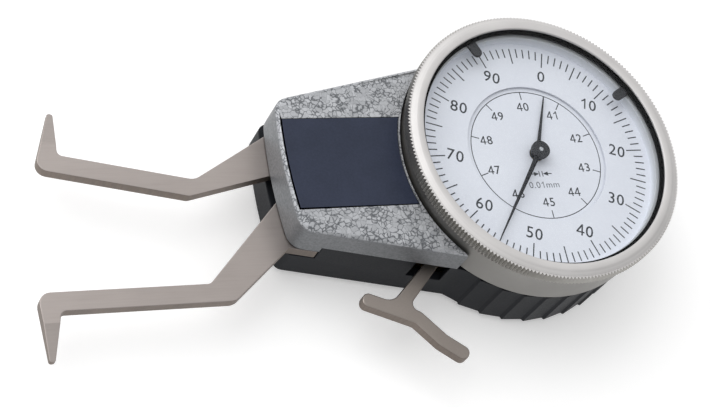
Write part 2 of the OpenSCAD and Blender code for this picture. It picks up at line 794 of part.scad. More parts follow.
module bridge_screws() {
    color("#8e8f92") for (p = pillar_spots)
        screw(p, bridge_top, bridge_top - floor_t - pass_gap);
}

module dial_posts() {
    color("#c8ad62") for (a = pillar_angles)
        disc(post_circle * dir(a), bridge_top, dial_under - bridge_top, post_r);
}

module inner_dial() {
    color("#e6e9ef") ring([0, 0], dial_under, dial_t, dial_r, centre_r + cannon_wall + 2 * pass_gap);
}

module hair_spring() {
    n = spiral_turns * 24;
    span = stud_circle - stud_r - seat_gap - spiral_w - spiral_start;
    a = pillar_angles[1];
    color("#5b6f9a") slab(mm_z + wheel_t + (stack_gap - spiral_h) / 2, spiral_h) polygon(concat(
        [for (i = [0 : n]) (spiral_start + span * i / n) * dir(a + 15 * i)],
        [for (i = [n : -1 : 0]) (spiral_start + spiral_w + span * i / n) * dir(a + 15 * i)]));
}

module bezel_wire() {
    color("#8e8f92") rotate_extrude() translate([collar_r, wire_z]) circle(wire_r, $fn = 32);
}

// Pieces that swing with the moving arm

module moving_arm() {
    top = pivot.y + hub_r;
    shoulder_x = moving_bend.x + (top - moving_bend.y) / tan(moving_rear);
    low = hit(moving_bend_low, moving_rear_low, pivot, hub_r) - pivot;
    hub_end = atan2(low.y, low.x) - (low.y > 0 ? 360 : 0);
    n = 40;
    tip_y = strip_w / 2 + tip_len;
    local = [
        [-tip_root_w / 2, -strip_w / 2, heel_r],
        [-tip_end_w / 2, tip_y, nose_r],
        [tip_end_w / 2, tip_y, nose_r],
        [tip_root_w / 2, strip_w / 2, crook_r]];
    front = [for (p = local) let (q = moving_root + turn([p.x, p.y], -moving_tilt)) [q.x, q.y, p.z]];
    hub = [for (i = [0 : n]) let (q = pivot + hub_r * dir(90 + (hub_end - 90) * i / n)) [q.x, q.y, 0]];
    color("#aaa09b") difference() {
        slab(arm_z, arm_t) difference() {
            polygon(rounded(concat(
                front,
                [[moving_bend.x, moving_bend.y, bend_out_r], [shoulder_x, top, heel_r]],
                hub,
                [[moving_bend_low.x, moving_bend_low.y, bend_r]])));
            translate(pivot) circle(bush_r + seat_gap);
            for (p = hub_rivet_spots) translate(p) circle(rivet_r + seat_gap);
        }
        translate([moving_tip.x, moving_tip.y, arm_z + tip_end_t]) rotate([0, 0, -moving_tilt]) tip_wedge();
    }
}

// Corner where two edges meet, as [x, y, radius]; the edges run h to the left of lines through p and q
function edge_corner(p, a, q, b, h, r) =
    let (c = meet(p + h * dir(a + 90), a, q + h * dir(b + 90), b)) [c.x, c.y, r];

// Corner of a strip's square end, h to the left of the strip's line at p
function end_corner(p, a, h, r) = let (c = p + h * dir(a + 90)) [c.x, c.y, r];

module lift_lever() {
    bar_angle = wing_front_angle - 180;
    h = wing_w / 2;
    corner = 0.9 * h;
    front = bar - wing_front * dir(bar_angle);
    knee = bar + wing_knee * dir(bar_angle);
    bend = knee + wing_mid * dir(wing_mid_angle);
    end = bend + wing_end * dir(wing_end_angle);
    top = bar + h * dir(bar_angle + 90);
    crook_f = meet(top, bar_angle, stem_left[0], heading(stem_left[1], stem_left[0]));
    crook_b = meet(top, bar_angle, stem_right[0], heading(stem_right[1], stem_right[0]));
    color("#a39a95") slab(arm_z, arm_t) difference() {
        union() {
            polygon(rounded([
                [stem_left[0].x, stem_left[0].y, 0],
                [crook_f.x, crook_f.y, 3],
                end_corner(front, bar_angle, h, corner),
                end_corner(front, bar_angle, -h, corner),
                edge_corner(knee, bar_angle, knee, wing_mid_angle, -h, 2),
                edge_corner(bend, wing_mid_angle, bend, wing_end_angle, -h, 4),
                end_corner(end, wing_end_angle, -h, corner),
                end_corner(end, wing_end_angle, h, corner),
                edge_corner(bend, wing_mid_angle, bend, wing_end_angle, h, 4),
                edge_corner(knee, bar_angle, knee, wing_mid_angle, h, 2),
                [crook_b.x, crook_b.y, 1.4],
                [stem_right[0].x, stem_right[0].y, 0]]));
            translate(pad) circle(pad_r);
        }
        for (p = lever_rivet_spots) translate(p) circle(rivet_r + seat_gap);
    }
}

module gear_sector() {
    lo = ceil(swing / tooth_step) + spare_teeth;
    root = [for (a = [70, -70]) hub_r / 2 * dir(mesh_angle + a)];
    teeth = [for (i = [-lo : spare_teeth])
        each tooth(sector_r, sector_module, wheel_add, 0.38, mesh_angle + i * tooth_step, tooth_step)];
    color("#c8ad62") slab(arm_top, sector_t) difference() {
        union() {
            translate(pivot) polygon(concat(teeth, root));
            polygon(link_outline(pivot, hub_r, pad, pad_r));
        }
        translate(pivot) circle(bush_r + seat_gap);
        translate(hook_in) circle(hook_r + seat_gap);
        for (p = concat(hub_rivet_spots, lever_rivet_spots)) translate(p) circle(rivet_r + seat_gap);
    }
}

module hub_bush() {
    color("#c8ad62") difference() {
        union() {
            disc(pivot, arm_z - flange_t, flange_t, flange_r);
            disc(pivot, arm_z - eps, sector_top - arm_z + bush_rise, bush_r);
        }
        disc(pivot, 0, big, pivot_r + run_gap);
    }
}

module hub_rivets() {
    color("#8e8f92") for (p = hub_rivet_spots) rivet(p);
}

module lever_rivets() {
    color("#8e8f92") for (p = lever_rivet_spots) rivet(p);
}

module spring_pin() {
    color("#c9c9c9") {
        hook_pin(hook_in, coil_z - hook_over, sector_top + eps);
        disc(hook_in, sector_top, rivet_head, hook_r + hook_rim);
    }
}

// Pieces on the first arbor

module first_arbor() {
    color("#c9c9c9") {
        disc(arbor, floor_t + pass_gap, bridge_top - floor_t - pass_gap, arbor_r - journal_step);
        disc(arbor, chassis_top + pass_gap, bridge_z - chassis_top - 2 * pass_gap, arbor_r);
        translate([arbor.x, arbor.y, arm_top - pinion_rise]) linear_extrude(sector_t + 2 * pinion_rise)
            polygon(gear(pinion_teeth, sector_module, pinion_add, 0.34,
                mesh_angle + 180 + 180 / pinion_teeth));
    }
}

// Wheel pressed on the first arbor, in mesh with the centre
module arbor_wheel(z, teeth, m) {
    color("#c8ad62") difference() {
        union() {
            translate([arbor.x, arbor.y, z]) linear_extrude(wheel_t)
                polygon(gear(teeth, m, wheel_add, 0.38, train_angle));
            disc(arbor, z, wheel_t + hub_rise, arbor_r + hub_wall);
        }
        disc(arbor, 0, big, arbor_r + seat_gap);
    }
}

module transfer_wheel() {
    arbor_wheel(wheel_z, wheel_teeth, wheel_module);
}

module mm_driver() {
    arbor_wheel(mm_z, driver_teeth, mm_module);
}

// Pieces on the centre arbor

module centre_arbor() {
    color("#c9c9c9") {
        disc([0, 0], floor_t + pass_gap, long_z + hand_hub_h - floor_t - pass_gap, centre_r);
        translate([0, 0, wheel_z - pinion_rise]) linear_extrude(wheel_t + 2 * pinion_rise)
            polygon(gear(pinion_teeth, wheel_module, pinion_add, 0.34,
                train_angle + 180 + 180 / pinion_teeth));
    }
}

// Tapered hand lying along +Y, with a tail behind its hub
module hand(length, root_w, tail) {
    polygon([[-root_w / 2, 0], [-hand_end_w / 2, length], [hand_end_w / 2, length], [root_w / 2, 0],
        [root_w * 0.6, -tail], [-root_w * 0.6, -tail]]);
}

module long_pointer() {
    color("#2a2a2c") difference() {
        union() {
            slab(long_z, hand_t) rotate(-long_angle) hand(long_hand, 1.1, 1.5);
            disc([0, 0], long_z, hand_hub_h, hand_hub_r);
        }
        disc([0, 0], 0, big, centre_r + seat_gap);
    }
}

module mm_wheel() {
    bore = centre_r + run_gap;
    color("#c8ad62") difference() {
        union() {
            translate([0, 0, mm_z]) linear_extrude(wheel_t)
                polygon(gear(mm_teeth, mm_module, pinion_add, 0.34, train_angle + 180 + 180 / mm_teeth));
            disc([0, 0], mm_z, wheel_t + stack_gap - pass_gap, mm_hub_r);
            disc([0, 0], mm_z, short_z + hand_t + pass_gap - mm_z, bore + cannon_wall);
        }
        disc([0, 0], 0, big, bore);
    }
}

module short_pointer() {
    bore = centre_r + run_gap + cannon_wall + seat_gap;
    color("#2a2a2c") difference() {
        union() {
            slab(short_z, hand_t) rotate(-short_angle) hand(short_hand, 0.9, 1.4);
            disc([0, 0], short_z - hand_t, 2 * hand_t, bore + 0.5);
        }
        disc([0, 0], 0, big, bore);
    }
}

// Pieces that turn with the bezel

module bezel() {
    rim_z = bezel_top - bezel_slope;
    knurl_z = rim_z - knurl_h;
    edge = 0.3;
    seat_h = retainer_t + seat_gap;
    color("#c8c5c1") difference() {
        rotate_extrude() polygon([
            [bezel_in_r, bezel_z],
            [band_r - edge, bezel_z],
            [band_r, bezel_z + edge],
            [band_r, knurl_z - edge],
            [knurl_r - edge, knurl_z],
            [knurl_r, knurl_z + edge],
            [knurl_r, rim_z - edge],
            [knurl_r - edge, rim_z],
            [window_r + crown_w, bezel_top],
            [window_r + edge, bezel_top],
            [window_r, bezel_top - edge / 2],
            [window_r, crystal_z + crystal_t],
            [bezel_in_r, crystal_z + crystal_t]]);
        rotate_extrude() translate([collar_r, wire_z]) circle(wire_r + 3 * run_gap, $fn = 32);
        ring([0, 0], ring_z - seat_h, seat_h, retainer_r + seat_gap, shade_in_r);
    }
}

module crystal() {
    color("#dfe8ee", 0.3) disc([0, 0], crystal_z, crystal_t, collar_r);
}

module shade_ring() {
    color("#1f2023") {
        ring([0, 0], ledge_z, shade_lip_z - ledge_z + eps, collar_r, collar_r - shade_rim);
        ring([0, 0], shade_lip_z, crystal_z - shade_lip_z, collar_r, collar_r - shade_lip);
    }
}

module track_ring() {
    color("#e6e9ef") ring([0, 0], ring_top, ledge_z - ring_top, collar_r, shade_in_r);
}

module outer_dial() {
    color("#e6e9ef") ring([0, 0], ring_z, ring_top - ring_z, collar_r, ring_in_r);
}

module bezel_retainer() {
    color("#8e8f92") ring([0, 0], ring_z - retainer_t, retainer_t, retainer_r, shade_in_r);
}

// Limit marker: a round-ended tab that slides between the track ring and the dark ring
module limit_marker(angle) {
    h = marker_w / 2;
    slide_r = collar_r - shade_rim - pass_gap;
    color("#2f3033") slab(marker_z, marker_t) rotate(angle) intersection() {
        circle(slide_r);
        union() {
            translate([marker_in_r + h, 0]) circle(h);
            translate([marker_in_r + h, -h]) square([collar_r, marker_w]);
        }
    }
}

module limit_marker_a() {
    limit_marker(marker_angles[0]);
}

module limit_marker_b() {
    limit_marker(marker_angles[1]);
}

back_case();
front_cover();
name_plate();
chassis_plate();
case_screws();
fixed_arm();
arm_spacers();
arm_screws();
pivot_pin();
pivot_clip();
stop_pin();
spring_post();
return_spring();
bridge_plate();
bridge_pillars();
bridge_screws();
dial_posts();
inner_dial();
hair_spring();
bezel_wire();
moving_arm();
lift_lever();
gear_sector();
hub_bush();
hub_rivets();
lever_rivets();
spring_pin();
first_arbor();
transfer_wheel();
mm_driver();
centre_arbor();
long_pointer();
mm_wheel();
short_pointer();
bezel();
crystal();
shade_ring();
track_ring();
outer_dial();
bezel_retainer();
limit_marker_a();
limit_marker_b();
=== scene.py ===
"""Looks of a dial gauge for internal grooves: finishes, rounded edges, knurl, print and studio."""
import logging
import math
from collections.abc import Callable, Iterable
from dataclasses import dataclass
from enum import Enum
from typing import Any

import bmesh
import bpy
from mathutils import Matrix, Vector


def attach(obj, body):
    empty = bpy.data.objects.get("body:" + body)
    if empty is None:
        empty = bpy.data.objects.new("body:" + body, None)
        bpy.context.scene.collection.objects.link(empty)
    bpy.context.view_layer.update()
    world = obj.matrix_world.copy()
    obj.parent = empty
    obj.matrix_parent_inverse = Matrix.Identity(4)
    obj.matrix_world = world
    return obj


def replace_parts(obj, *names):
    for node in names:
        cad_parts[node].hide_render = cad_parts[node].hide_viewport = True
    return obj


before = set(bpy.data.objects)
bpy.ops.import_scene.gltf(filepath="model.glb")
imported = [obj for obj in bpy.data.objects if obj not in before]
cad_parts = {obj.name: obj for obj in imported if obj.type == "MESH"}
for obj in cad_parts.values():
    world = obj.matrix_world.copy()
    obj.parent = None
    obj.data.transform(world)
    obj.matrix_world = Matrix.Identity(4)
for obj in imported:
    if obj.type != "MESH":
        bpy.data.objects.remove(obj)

LOG = logging.getLogger("groove_gauge")
MM = 0.001
# Points closer than this, in millimetres, are one point, on a CAD copy and on a figure
WELD = 0.002
FIGURE_WELD = 0.0005
# Faces of a CAD copy that meet at less than this are one flat face
FLAT_ANGLE = math.radians(0.5)
# Edges sharper than this stay sharp, on a CAD copy and on a turned ring
SHARP_ANGLE = math.radians(33)
TURNED_ANGLE = math.radians(28)
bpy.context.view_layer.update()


def linear(code: str) -> tuple[float, float, float, float]:
    """Turn an sRGB hex colour into linear RGBA.

    Args:
        code: Colour as "#rrggbb".

    Returns:
        Linear red, green, blue and an alpha of 1.
    """
    parts = [int(code[i:i + 2], 16) / 255 for i in (1, 3, 5)]
    r, g, b = (c / 12.92 if c <= 0.04045 else ((c + 0.055) / 1.055) ** 2.4 for c in parts)
    return r, g, b, 1.0


def per_mm(size: float) -> float:
    """Texture scale, in Object coordinates, of a pattern whose repeat is size millimetres."""
    return 1 / (size * MM)


def add(tree: bpy.types.NodeTree, kind: str, settings: dict[str, Any] | None = None,
        inputs: dict[str | int, Any] | None = None) -> bpy.types.Node:
    """Add a node with its settings and links.

    Args:
        tree: Node tree that takes the node.
        kind: Type name of the node.
        settings: Attributes of the node.
        inputs: Values of its inputs by name or place; an output socket is linked.

    Returns:
        The new node.
    """
    node = tree.nodes.new(kind)
    for key, value in (settings or {}).items():
        setattr(node, key, value)
    for key, value in (inputs or {}).items():
        if isinstance(value, bpy.types.NodeSocket):
            tree.links.new(value, node.inputs[key])
        else:
            node.inputs[key].default_value = value
    return node


# ---------------------------------------------------------------- finishes


class Lay(Enum):
    """Which way the marks of a worked metal surface run, as stretch factors of the pattern."""

    ALONG_X = (0.04, 1.0, 1.0)
    UPRIGHT = (1.0, 1.0, 0.06)
    EVEN = (1.0, 1.0, 1.0)


@dataclass(frozen=True)
class Finish:
    """A finish: the name of its material and the slot that it stands for."""

    name: str
    slot: str

    def material(self) -> bpy.types.Material:
        """Material of this finish, made at its first use.

        Returns:
            The material.
        """
        found = bpy.data.materials.get(self.name)
        if found is not None:
            return found
        made = bpy.data.materials.new(self.name)
        made.use_nodes = True
        tree = made.node_tree
        tree.nodes.clear()
        place = add(tree, "ShaderNodeTexCoord").outputs["Object"]
        add(tree, "ShaderNodeOutputMaterial", {}, {"Surface": self.paint(tree, place)})
        return made

    def paint(self, tree: bpy.types.NodeTree, place: bpy.types.NodeSocket) -> bpy.types.NodeSocket:
        """Build the pattern of the finish and its shader.

        Args:
            tree: Node tree of the material.
            place: Object coordinates.

        Returns:
            The socket that goes to the material's surface.
        """
        raise NotImplementedError


@dataclass(frozen=True, kw_only=True)
class TwoTone(Finish):
    """Finish in two close shades, a fine pattern over broad soft clouds; sizes in millimetres."""

    base: str
    deep: str
    rough: float
    cloud: float

    def shades(self, tree: bpy.types.NodeTree, place: bpy.types.NodeSocket,
               pattern: bpy.types.NodeSocket, part: float) -> bpy.types.NodeSocket:
        """Mix the two shades.

        Args:
            tree: Node tree of the material.
            place: Object coordinates.
            pattern: The fine pattern.
            part: Share of the clouds.

        Returns:
            The colour.
        """
        clouds = add(tree, "ShaderNodeTexNoise", {}, {
            "Vector": place, "Scale": per_mm(self.cloud), "Detail": 2.0})
        blend = add(tree, "ShaderNodeMix", {"data_type": "FLOAT"}, {
            0: part, 2: pattern, 3: clouds.outputs[0]})
        share = add(tree, "ShaderNodeMapRange", {}, {
            "Value": blend.outputs[0], "From Min": 0.35, "From Max": 0.65})
        return add(tree, "ShaderNodeMix", {"data_type": "RGBA"}, {
            0: share.outputs[0], 6: linear(self.deep), 7: linear(self.base)}).outputs[2]


@dataclass(frozen=True, kw_only=True)
class WorkedMetal(TwoTone):
    """Metal with the marks of brushing, drawing or machining."""

    mark: float
    lay: Lay = Lay.EVEN
    cloud: float = 9.0
    relief: float = 0.004

    def paint(self, tree: bpy.types.NodeTree, place: bpy.types.NodeSocket) -> bpy.types.NodeSocket:
        """Lay fine marks over broad soft clouds.

        Args:
            tree: Node tree of the material.
            place: Object coordinates.

        Returns:
            The shader's output.
        """
        run = add(tree, "ShaderNodeMapping", {}, {"Vector": place, "Scale": self.lay.value})
        marks = add(tree, "ShaderNodeTexNoise", {}, {
            "Vector": run.outputs[0], "Scale": per_mm(self.mark), "Detail": 3.0, "Roughness": 0.6})
        rough = add(tree, "ShaderNodeMapRange", {}, {
            "Value": marks.outputs[0], "From Min": 0.3, "From Max": 0.7,
            "To Min": self.rough - 0.05, "To Max": self.rough + 0.06})
        bump = add(tree, "ShaderNodeBump", {}, {
            "Strength": 0.5, "Distance": self.relief * MM, "Height": marks.outputs[0]})
        return add(tree, "ShaderNodeBsdfPrincipled", {}, {
            "Base Color": self.shades(tree, place, marks.outputs[0], 0.45), "Metallic": 1.0,
            "Roughness": rough.outputs[0], "Normal": bump.outputs[0]}).outputs[0]


@dataclass(frozen=True, kw_only=True)
class TurnedMetal(TwoTone):
    """Metal turned on a lathe: fine rings round the dial axis."""

    ring: float
    cloud: float = 7.0

    def paint(self, tree: bpy.types.NodeTree, place: bpy.types.NodeSocket) -> bpy.types.NodeSocket:
        """Lay rings by the distance from the axis and by the height.

        Args:
            tree: Node tree of the material.
            place: Object coordinates.

        Returns:
            The shader's output.
        """
        flat = add(tree, "ShaderNodeVectorMath", {"operation": "MULTIPLY"}, {
            0: place, 1: (1, 1, 0)})
        radius = add(tree, "ShaderNodeVectorMath", {"operation": "LENGTH"}, {0: flat.outputs[0]})
        split = add(tree, "ShaderNodeSeparateXYZ", {}, {0: place})
        along = add(tree, "ShaderNodeMath", {"operation": "ADD"}, {
            0: radius.outputs["Value"], 1: split.outputs["Z"]})
        rings = add(tree, "ShaderNodeTexNoise", {"noise_dimensions": "1D"}, {
            "W": along.outputs[0], "Scale": per_mm(self.ring), "Detail": 2.0})
        rough = add(tree, "ShaderNodeMapRange", {}, {
            "Value": rings.outputs[0], "From Min": 0.3, "From Max": 0.7,
            "To Min": self.rough - 0.04, "To Max": self.rough + 0.05})
        return add(tree, "ShaderNodeBsdfPrincipled", {}, {
            "Base Color": self.shades(tree, place, rings.outputs[0], 0.5), "Metallic": 1.0,
            "Roughness": rough.outputs[0]}).outputs[0]


@dataclass(frozen=True)
class HammertonePaint(Finish):
    """Stove enamel with aluminium flake that shrinks into pale cells; sizes in millimetres."""

    cell: str = "#bfc1c5"
    vein: str = "#5c5f63"
    shaded_wall: str = "#7c7e81"
    cell_size: float = 0.95
    drift_size: float = 3.2
    drift: float = 1.6
    warp_size: float = 0.9
    warp: float = 0.9
    speck_size: float = 0.5
    patch_size: float = 1.7
    relief: float = 0.05
    metallic: float = 0.25

    def paint(self, tree: bpy.types.NodeTree, place: bpy.types.NodeSocket) -> bpy.types.NodeSocket:
        """Draw cells on faces that look up, where the paint pooled, and fine grain on the walls in
        a darker colour, which is painted shade.

        Args:
            tree: Node tree of the material.
            place: Object coordinates.

        Returns:
            The shader's output.
        """
        drift = add(tree, "ShaderNodeTexNoise", {}, {
            "Vector": place, "Scale": per_mm(self.drift_size), "Detail": 1.0})
        slide = add(tree, "ShaderNodeVectorMath", {"operation": "MULTIPLY_ADD"}, {
            0: drift.outputs["Color"], 1: (self.drift * MM,) * 3, 2: place})
        warp = add(tree, "ShaderNodeTexNoise", {}, {
            "Vector": place, "Scale": per_mm(self.warp_size), "Detail": 2.0})
        pull = add(tree, "ShaderNodeVectorMath", {"operation": "MULTIPLY_ADD"}, {
            0: warp.outputs["Color"], 1: (self.warp * MM,) * 3, 2: slide.outputs[0]})
        cells = add(tree, "ShaderNodeTexVoronoi", {"feature": "DISTANCE_TO_EDGE"}, {
            "Vector": pull.outputs[0], "Scale": per_mm(self.cell_size)})
        tone = add(tree, "ShaderNodeTexVoronoi", {}, {
            "Vector": pull.outputs[0], "Scale": per_mm(self.cell_size)})
        speck = add(tree, "ShaderNodeTexNoise", {}, {
            "Vector": place, "Scale": per_mm(self.speck_size), "Detail": 3.0, "Roughness": 0.7})
        patch = add(tree, "ShaderNodeTexNoise", {}, {
            "Vector": place, "Scale": per_mm(self.patch_size), "Detail": 2.0})
        # Veins open and close from place to place
        width = add(tree, "ShaderNodeMapRange", {}, {
            "Value": patch.outputs[0], "From Min": 0.38, "From Max": 0.62,
            "To Min": 0.02, "To Max": 0.23})
        open_cell = add(tree, "ShaderNodeMapRange", {"interpolation_type": "SMOOTHSTEP"}, {
            "Value": cells.outputs["Distance"], "From Min": 0.0, "From Max": width.outputs[0]})
        shade = add(tree, "ShaderNodeSeparateColor", {}, {0: tone.outputs["Color"]})
        mottle = add(tree, "ShaderNodeMix", {"data_type": "FLOAT"}, {
            0: 0.6, 2: shade.outputs[0], 3: speck.outputs[0]})
        pale = add(tree, "ShaderNodeMapRange", {}, {
            "Value": mottle.outputs[0], "From Min": 0.25, "From Max": 0.7,
            "To Min": 0.62, "To Max": 1.0})
        lit = add(tree, "ShaderNodeMath", {"operation": "MULTIPLY"}, {
            0: open_cell.outputs[0], 1: pale.outputs[0]})
        top = add(tree, "ShaderNodeMix", {"data_type": "RGBA"}, {
            0: lit.outputs[0], 6: linear(self.vein), 7: linear(self.cell)})
        grain = add(tree, "ShaderNodeMapRange", {}, {
            "Value": speck.outputs[0], "From Min": 0.32, "From Max": 0.68,
            "To Min": 0.0, "To Max": 0.75})
        shaded_side = add(tree, "ShaderNodeMix", {"data_type": "RGBA"}, {
            0: grain.outputs[0], 6: linear(self.shaded_wall), 7: linear(self.vein)})
        # Walls that look sideways or down take the darker colour: painted shade
        normal = add(tree, "ShaderNodeNewGeometry").outputs["Normal"]
        facing = add(tree, "ShaderNodeSeparateXYZ", {}, {0: normal})
        up = add(tree, "ShaderNodeMapRange", {"interpolation_type": "SMOOTHSTEP"}, {
            "Value": facing.outputs["Z"], "From Min": -0.1, "From Max": 0.95})
        tint = add(tree, "ShaderNodeMix", {"data_type": "RGBA"}, {
            0: up.outputs[0], 6: shaded_side.outputs[2], 7: top.outputs[2]})
        dome = add(tree, "ShaderNodeMath", {"operation": "MULTIPLY"}, {
            0: open_cell.outputs[0], 1: up.outputs[0]})
        height = add(tree, "ShaderNodeMath", {"operation": "MULTIPLY_ADD"}, {
            0: speck.outputs[0], 1: 0.3, 2: dome.outputs[0]})
        bump = add(tree, "ShaderNodeBump", {}, {
            "Strength": 0.6, "Distance": self.relief * MM, "Height": height.outputs[0]})
        rough = add(tree, "ShaderNodeMapRange", {}, {
            "Value": speck.outputs[0], "From Min": 0.3, "From Max": 0.7,
            "To Min": 0.34, "To Max": 0.5})
        return add(tree, "ShaderNodeBsdfPrincipled", {}, {
            "Base Color": tint.outputs[2], "Metallic": self.metallic,
            "Roughness": rough.outputs[0], "Normal": bump.outputs[0]}).outputs[0]


@dataclass(frozen=True, kw_only=True)
class PlainCoat(TwoTone):
    """Paint, ink or moulded plastic: one colour with a fine grain and faint clouds."""

    grain: float
    relief: float
    cloud: float = 6.0
    sheen: float = 0.5

    def paint(self, tree: bpy.types.NodeTree, place: bpy.types.NodeSocket) -> bpy.types.NodeSocket:
        """Lay the grain over the clouds.

        Args:
            tree: Node tree of the material.
            place: Object coordinates.

        Returns:
            The shader's output.
        """
        grain = add(tree, "ShaderNodeTexNoise", {}, {
            "Vector": place, "Scale": per_mm(self.grain), "Detail": 2.0})
        rough = add(tree, "ShaderNodeMapRange", {}, {
            "Value": grain.outputs[0], "From Min": 0.3, "From Max": 0.7,
            "To Min": self.rough - 0.05, "To Max": self.rough + 0.05})
        bump = add(tree, "ShaderNodeBump", {}, {
            "Strength": 0.5, "Distance": self.relief * MM, "Height": grain.outputs[0]})
        return add(tree, "ShaderNodeBsdfPrincipled", {}, {
            "Base Color": self.shades(tree, place, grain.outputs[0], 0.5),
            "Roughness": rough.outputs[0], "Specular IOR Level": self.sheen,
            "Normal": bump.outputs[0]}).outputs[0]


@dataclass(frozen=True, kw_only=True)
class PaintedShadeCoat(PlainCoat):
    """Plain coat with painted shade: it fades to a greyer colour between two levels, in
    millimetres.
    """

    shaded_top: str = "#c4c6c9"
    low: float = 20.8
    high: float = 22.6

    def shades(self, tree: bpy.types.NodeTree, place: bpy.types.NodeSocket,
               pattern: bpy.types.NodeSocket, part: float) -> bpy.types.NodeSocket:
        """Fade the plain coat into painted shade by the height.

        Args:
            tree: Node tree of the material.
            place: Object coordinates.
            pattern: The fine pattern.
            part: Share of the clouds.

        Returns:
            The colour.
        """
        plain = super().shades(tree, place, pattern, part)
        level = add(tree, "ShaderNodeSeparateXYZ", {}, {0: place})
        share = add(tree, "ShaderNodeMapRange", {}, {
            "Value": level.outputs["Z"], "From Min": self.low * MM, "From Max": self.high * MM})
        return add(tree, "ShaderNodeMix", {"data_type": "RGBA"}, {
            0: share.outputs[0], 6: plain, 7: linear(self.shaded_top)}).outputs[2]


@dataclass(frozen=True)
class ClearAcrylic(Finish):
    """Polished acrylic: clear, with a bright edge; lamps shine through it onto the dial."""

    tint: str = "#f7fafc"
    # Below the 1.49 of plain acrylic, because the photograph shows no reflection in the window
    ior: float = 1.2
    smear: float = 8.0

    def paint(self, tree: bpy.types.NodeTree, place: bpy.types.NodeSocket) -> bpy.types.NodeSocket:
        """Let light rays pass straight and everything else refract.

        Args:
            tree: Node tree of the material.
            place: Object coordinates.

        Returns:
            The mixed surface.
        """
        smear = add(tree, "ShaderNodeTexNoise", {}, {
            "Vector": place, "Scale": per_mm(self.smear), "Detail": 1.0})
        haze = add(tree, "ShaderNodeMapRange", {}, {
            "Value": smear.outputs[0], "From Min": 0.3, "From Max": 0.7,
            "To Min": 0.0, "To Max": 0.02})
        glass = add(tree, "ShaderNodeBsdfPrincipled", {}, {
            "Base Color": linear(self.tint), "Transmission Weight": 1.0, "IOR": self.ior,
            "Roughness": haze.outputs[0]})
        path = add(tree, "ShaderNodeLightPath")
        clear = add(tree, "ShaderNodeBsdfTransparent")
        bounce = add(tree, "ShaderNodeMixShader", {}, {
            0: path.outputs["Is Diffuse Ray"], 1: glass.outputs[0], 2: clear.outputs[0]})
        return add(tree, "ShaderNodeMixShader", {}, {
            0: path.outputs["Is Shadow Ray"], 1: bounce.outputs[0], 2: clear.outputs[0]}).outputs[0]


# Satin nickel plate on ground steel: warm grey, soft reflections drawn out along the blade
NICKEL = WorkedMetal(
    "nickel_plate_satin_ground", "nickel_steel",
    base="#aca4a0", deep="#a49c98", rough=0.4, mark=0.3, lay=Lay.ALONG_X)
# The same plate on the finger lever, without a grain; a shade darker as painted shade, where the
# body shades the lever
NICKEL_LEVER_SHADED = WorkedMetal(
    "nickel_plate_satin_lever_painted_shade", "nickel_steel",
    base="#9d958f", deep="#958d87", rough=0.42, mark=0.3)
# The same plate on blanked edges: duller, with the upright marks of the press, and darker as
# painted shade on the side faces
NICKEL_EDGE_SHADED = WorkedMetal(
    "nickel_plate_blanked_edge_painted_shade", "nickel_steel",
    base="#857b74", deep="#6f665f", rough=0.5, mark=0.35, lay=Lay.UPRIGHT)
# Turned free-cutting steel: bright and neutral
STEEL = WorkedMetal(
    "free_cutting_steel_turned", "bright_steel",
    base="#c9c9cb", deep="#adaeb1", rough=0.28, mark=0.3)
# Drawn spring wire: darker and smoother than turned steel
SPRING = WorkedMetal(
    "spring_steel_drawn", "spring_steel",
    base="#9a9ca1", deep="#7f8187", rough=0.3, mark=0.4)
# Machined clock brass: pale yellow with a fine grain
BRASS = WorkedMetal(
    "clock_brass_grained", "movement_brass",
    base="#d8be7c", deep="#c0a35f", rough=0.32, mark=0.3, lay=Lay.ALONG_X)
# Satin chrome on the turned rim: pale, soft reflections, faint turning rings
CHROME = TurnedMetal(
    "chrome_satin_turned", "bezel_chrome",
    base="#dcdad9", deep="#d1cfce", rough=0.58, ring=0.22)
# Satin chrome on the band below the knurl: darker, as painted shade on the low wall of the ring
CHROME_BAND_SHADED = TurnedMetal(
    "chrome_satin_band_painted_shade", "bezel_chrome",
    base="#979592", deep="#8d8b88", rough=0.5, ring=0.3)
# Satin chrome on the flanks of the knurl, darker than the rim: painted shade between the teeth
CHROME_KNURL_SHADED = TurnedMetal(
    "chrome_satin_knurled_painted_shade", "bezel_chrome",
    base="#b2b0ac", deep="#a6a4a0", rough=0.5, ring=0.3)
# Silver-grey hammertone: pale cells with dark veins on top, fine grain on the walls, darker there
# as painted shade
HAMMERTONE = HammertonePaint("stove_enamel_hammertone", "cover_paint")
# Satin navy paint on a thin aluminium plate: dark, a little sheen
NAVY = PlainCoat(
    "plate_paint_satin_navy", "plate_paint",
    base="#32384a", deep="#2b3141", rough=0.42, grain=0.4, relief=0.004, sheen=0.2)
# Black ABS from an etched mould: matt with a fine grain
BLACK_ABS = PlainCoat(
    "abs_black_fine_grained", "case_plastic",
    base="#1f2126", deep="#1a1c20", rough=0.5, grain=0.35, relief=0.02, cloud=8.0, sheen=0.15)
# Matt white dial lacquer on sheet: cool white, no gloss
DIAL_WHITE = PlainCoat(
    "dial_lacquer_matt_white", "dial_white",
    base="#e4e6ed", deep="#dee0e8", rough=0.55, grain=0.5, relief=0.003, cloud=14.0)
# Matt white lacquer of the ring under the markers, with painted shade: greyer towards the black
# ring, where the bezel shades it
TRACK_PAINTED_SHADE = PaintedShadeCoat(
    "lacquer_matt_white_painted_shade", "dial_white",
    base="#e8eaf0", deep="#e2e4eb", rough=0.55, grain=0.5, relief=0.003, cloud=14.0)
# Dial printing ink: dark grey and dull
INK = PlainCoat(
    "dial_ink_pad_printed", "hand_black",
    base="#33363b", deep="#2c2f34", rough=0.6, grain=0.4, relief=0.002)
# The same ink, printed thin for the small marking: a lighter grey
THIN_INK = PlainCoat(
    "dial_ink_thin", "hand_black",
    base="#74777d", deep="#6b6e74", rough=0.6, grain=0.4, relief=0.002)
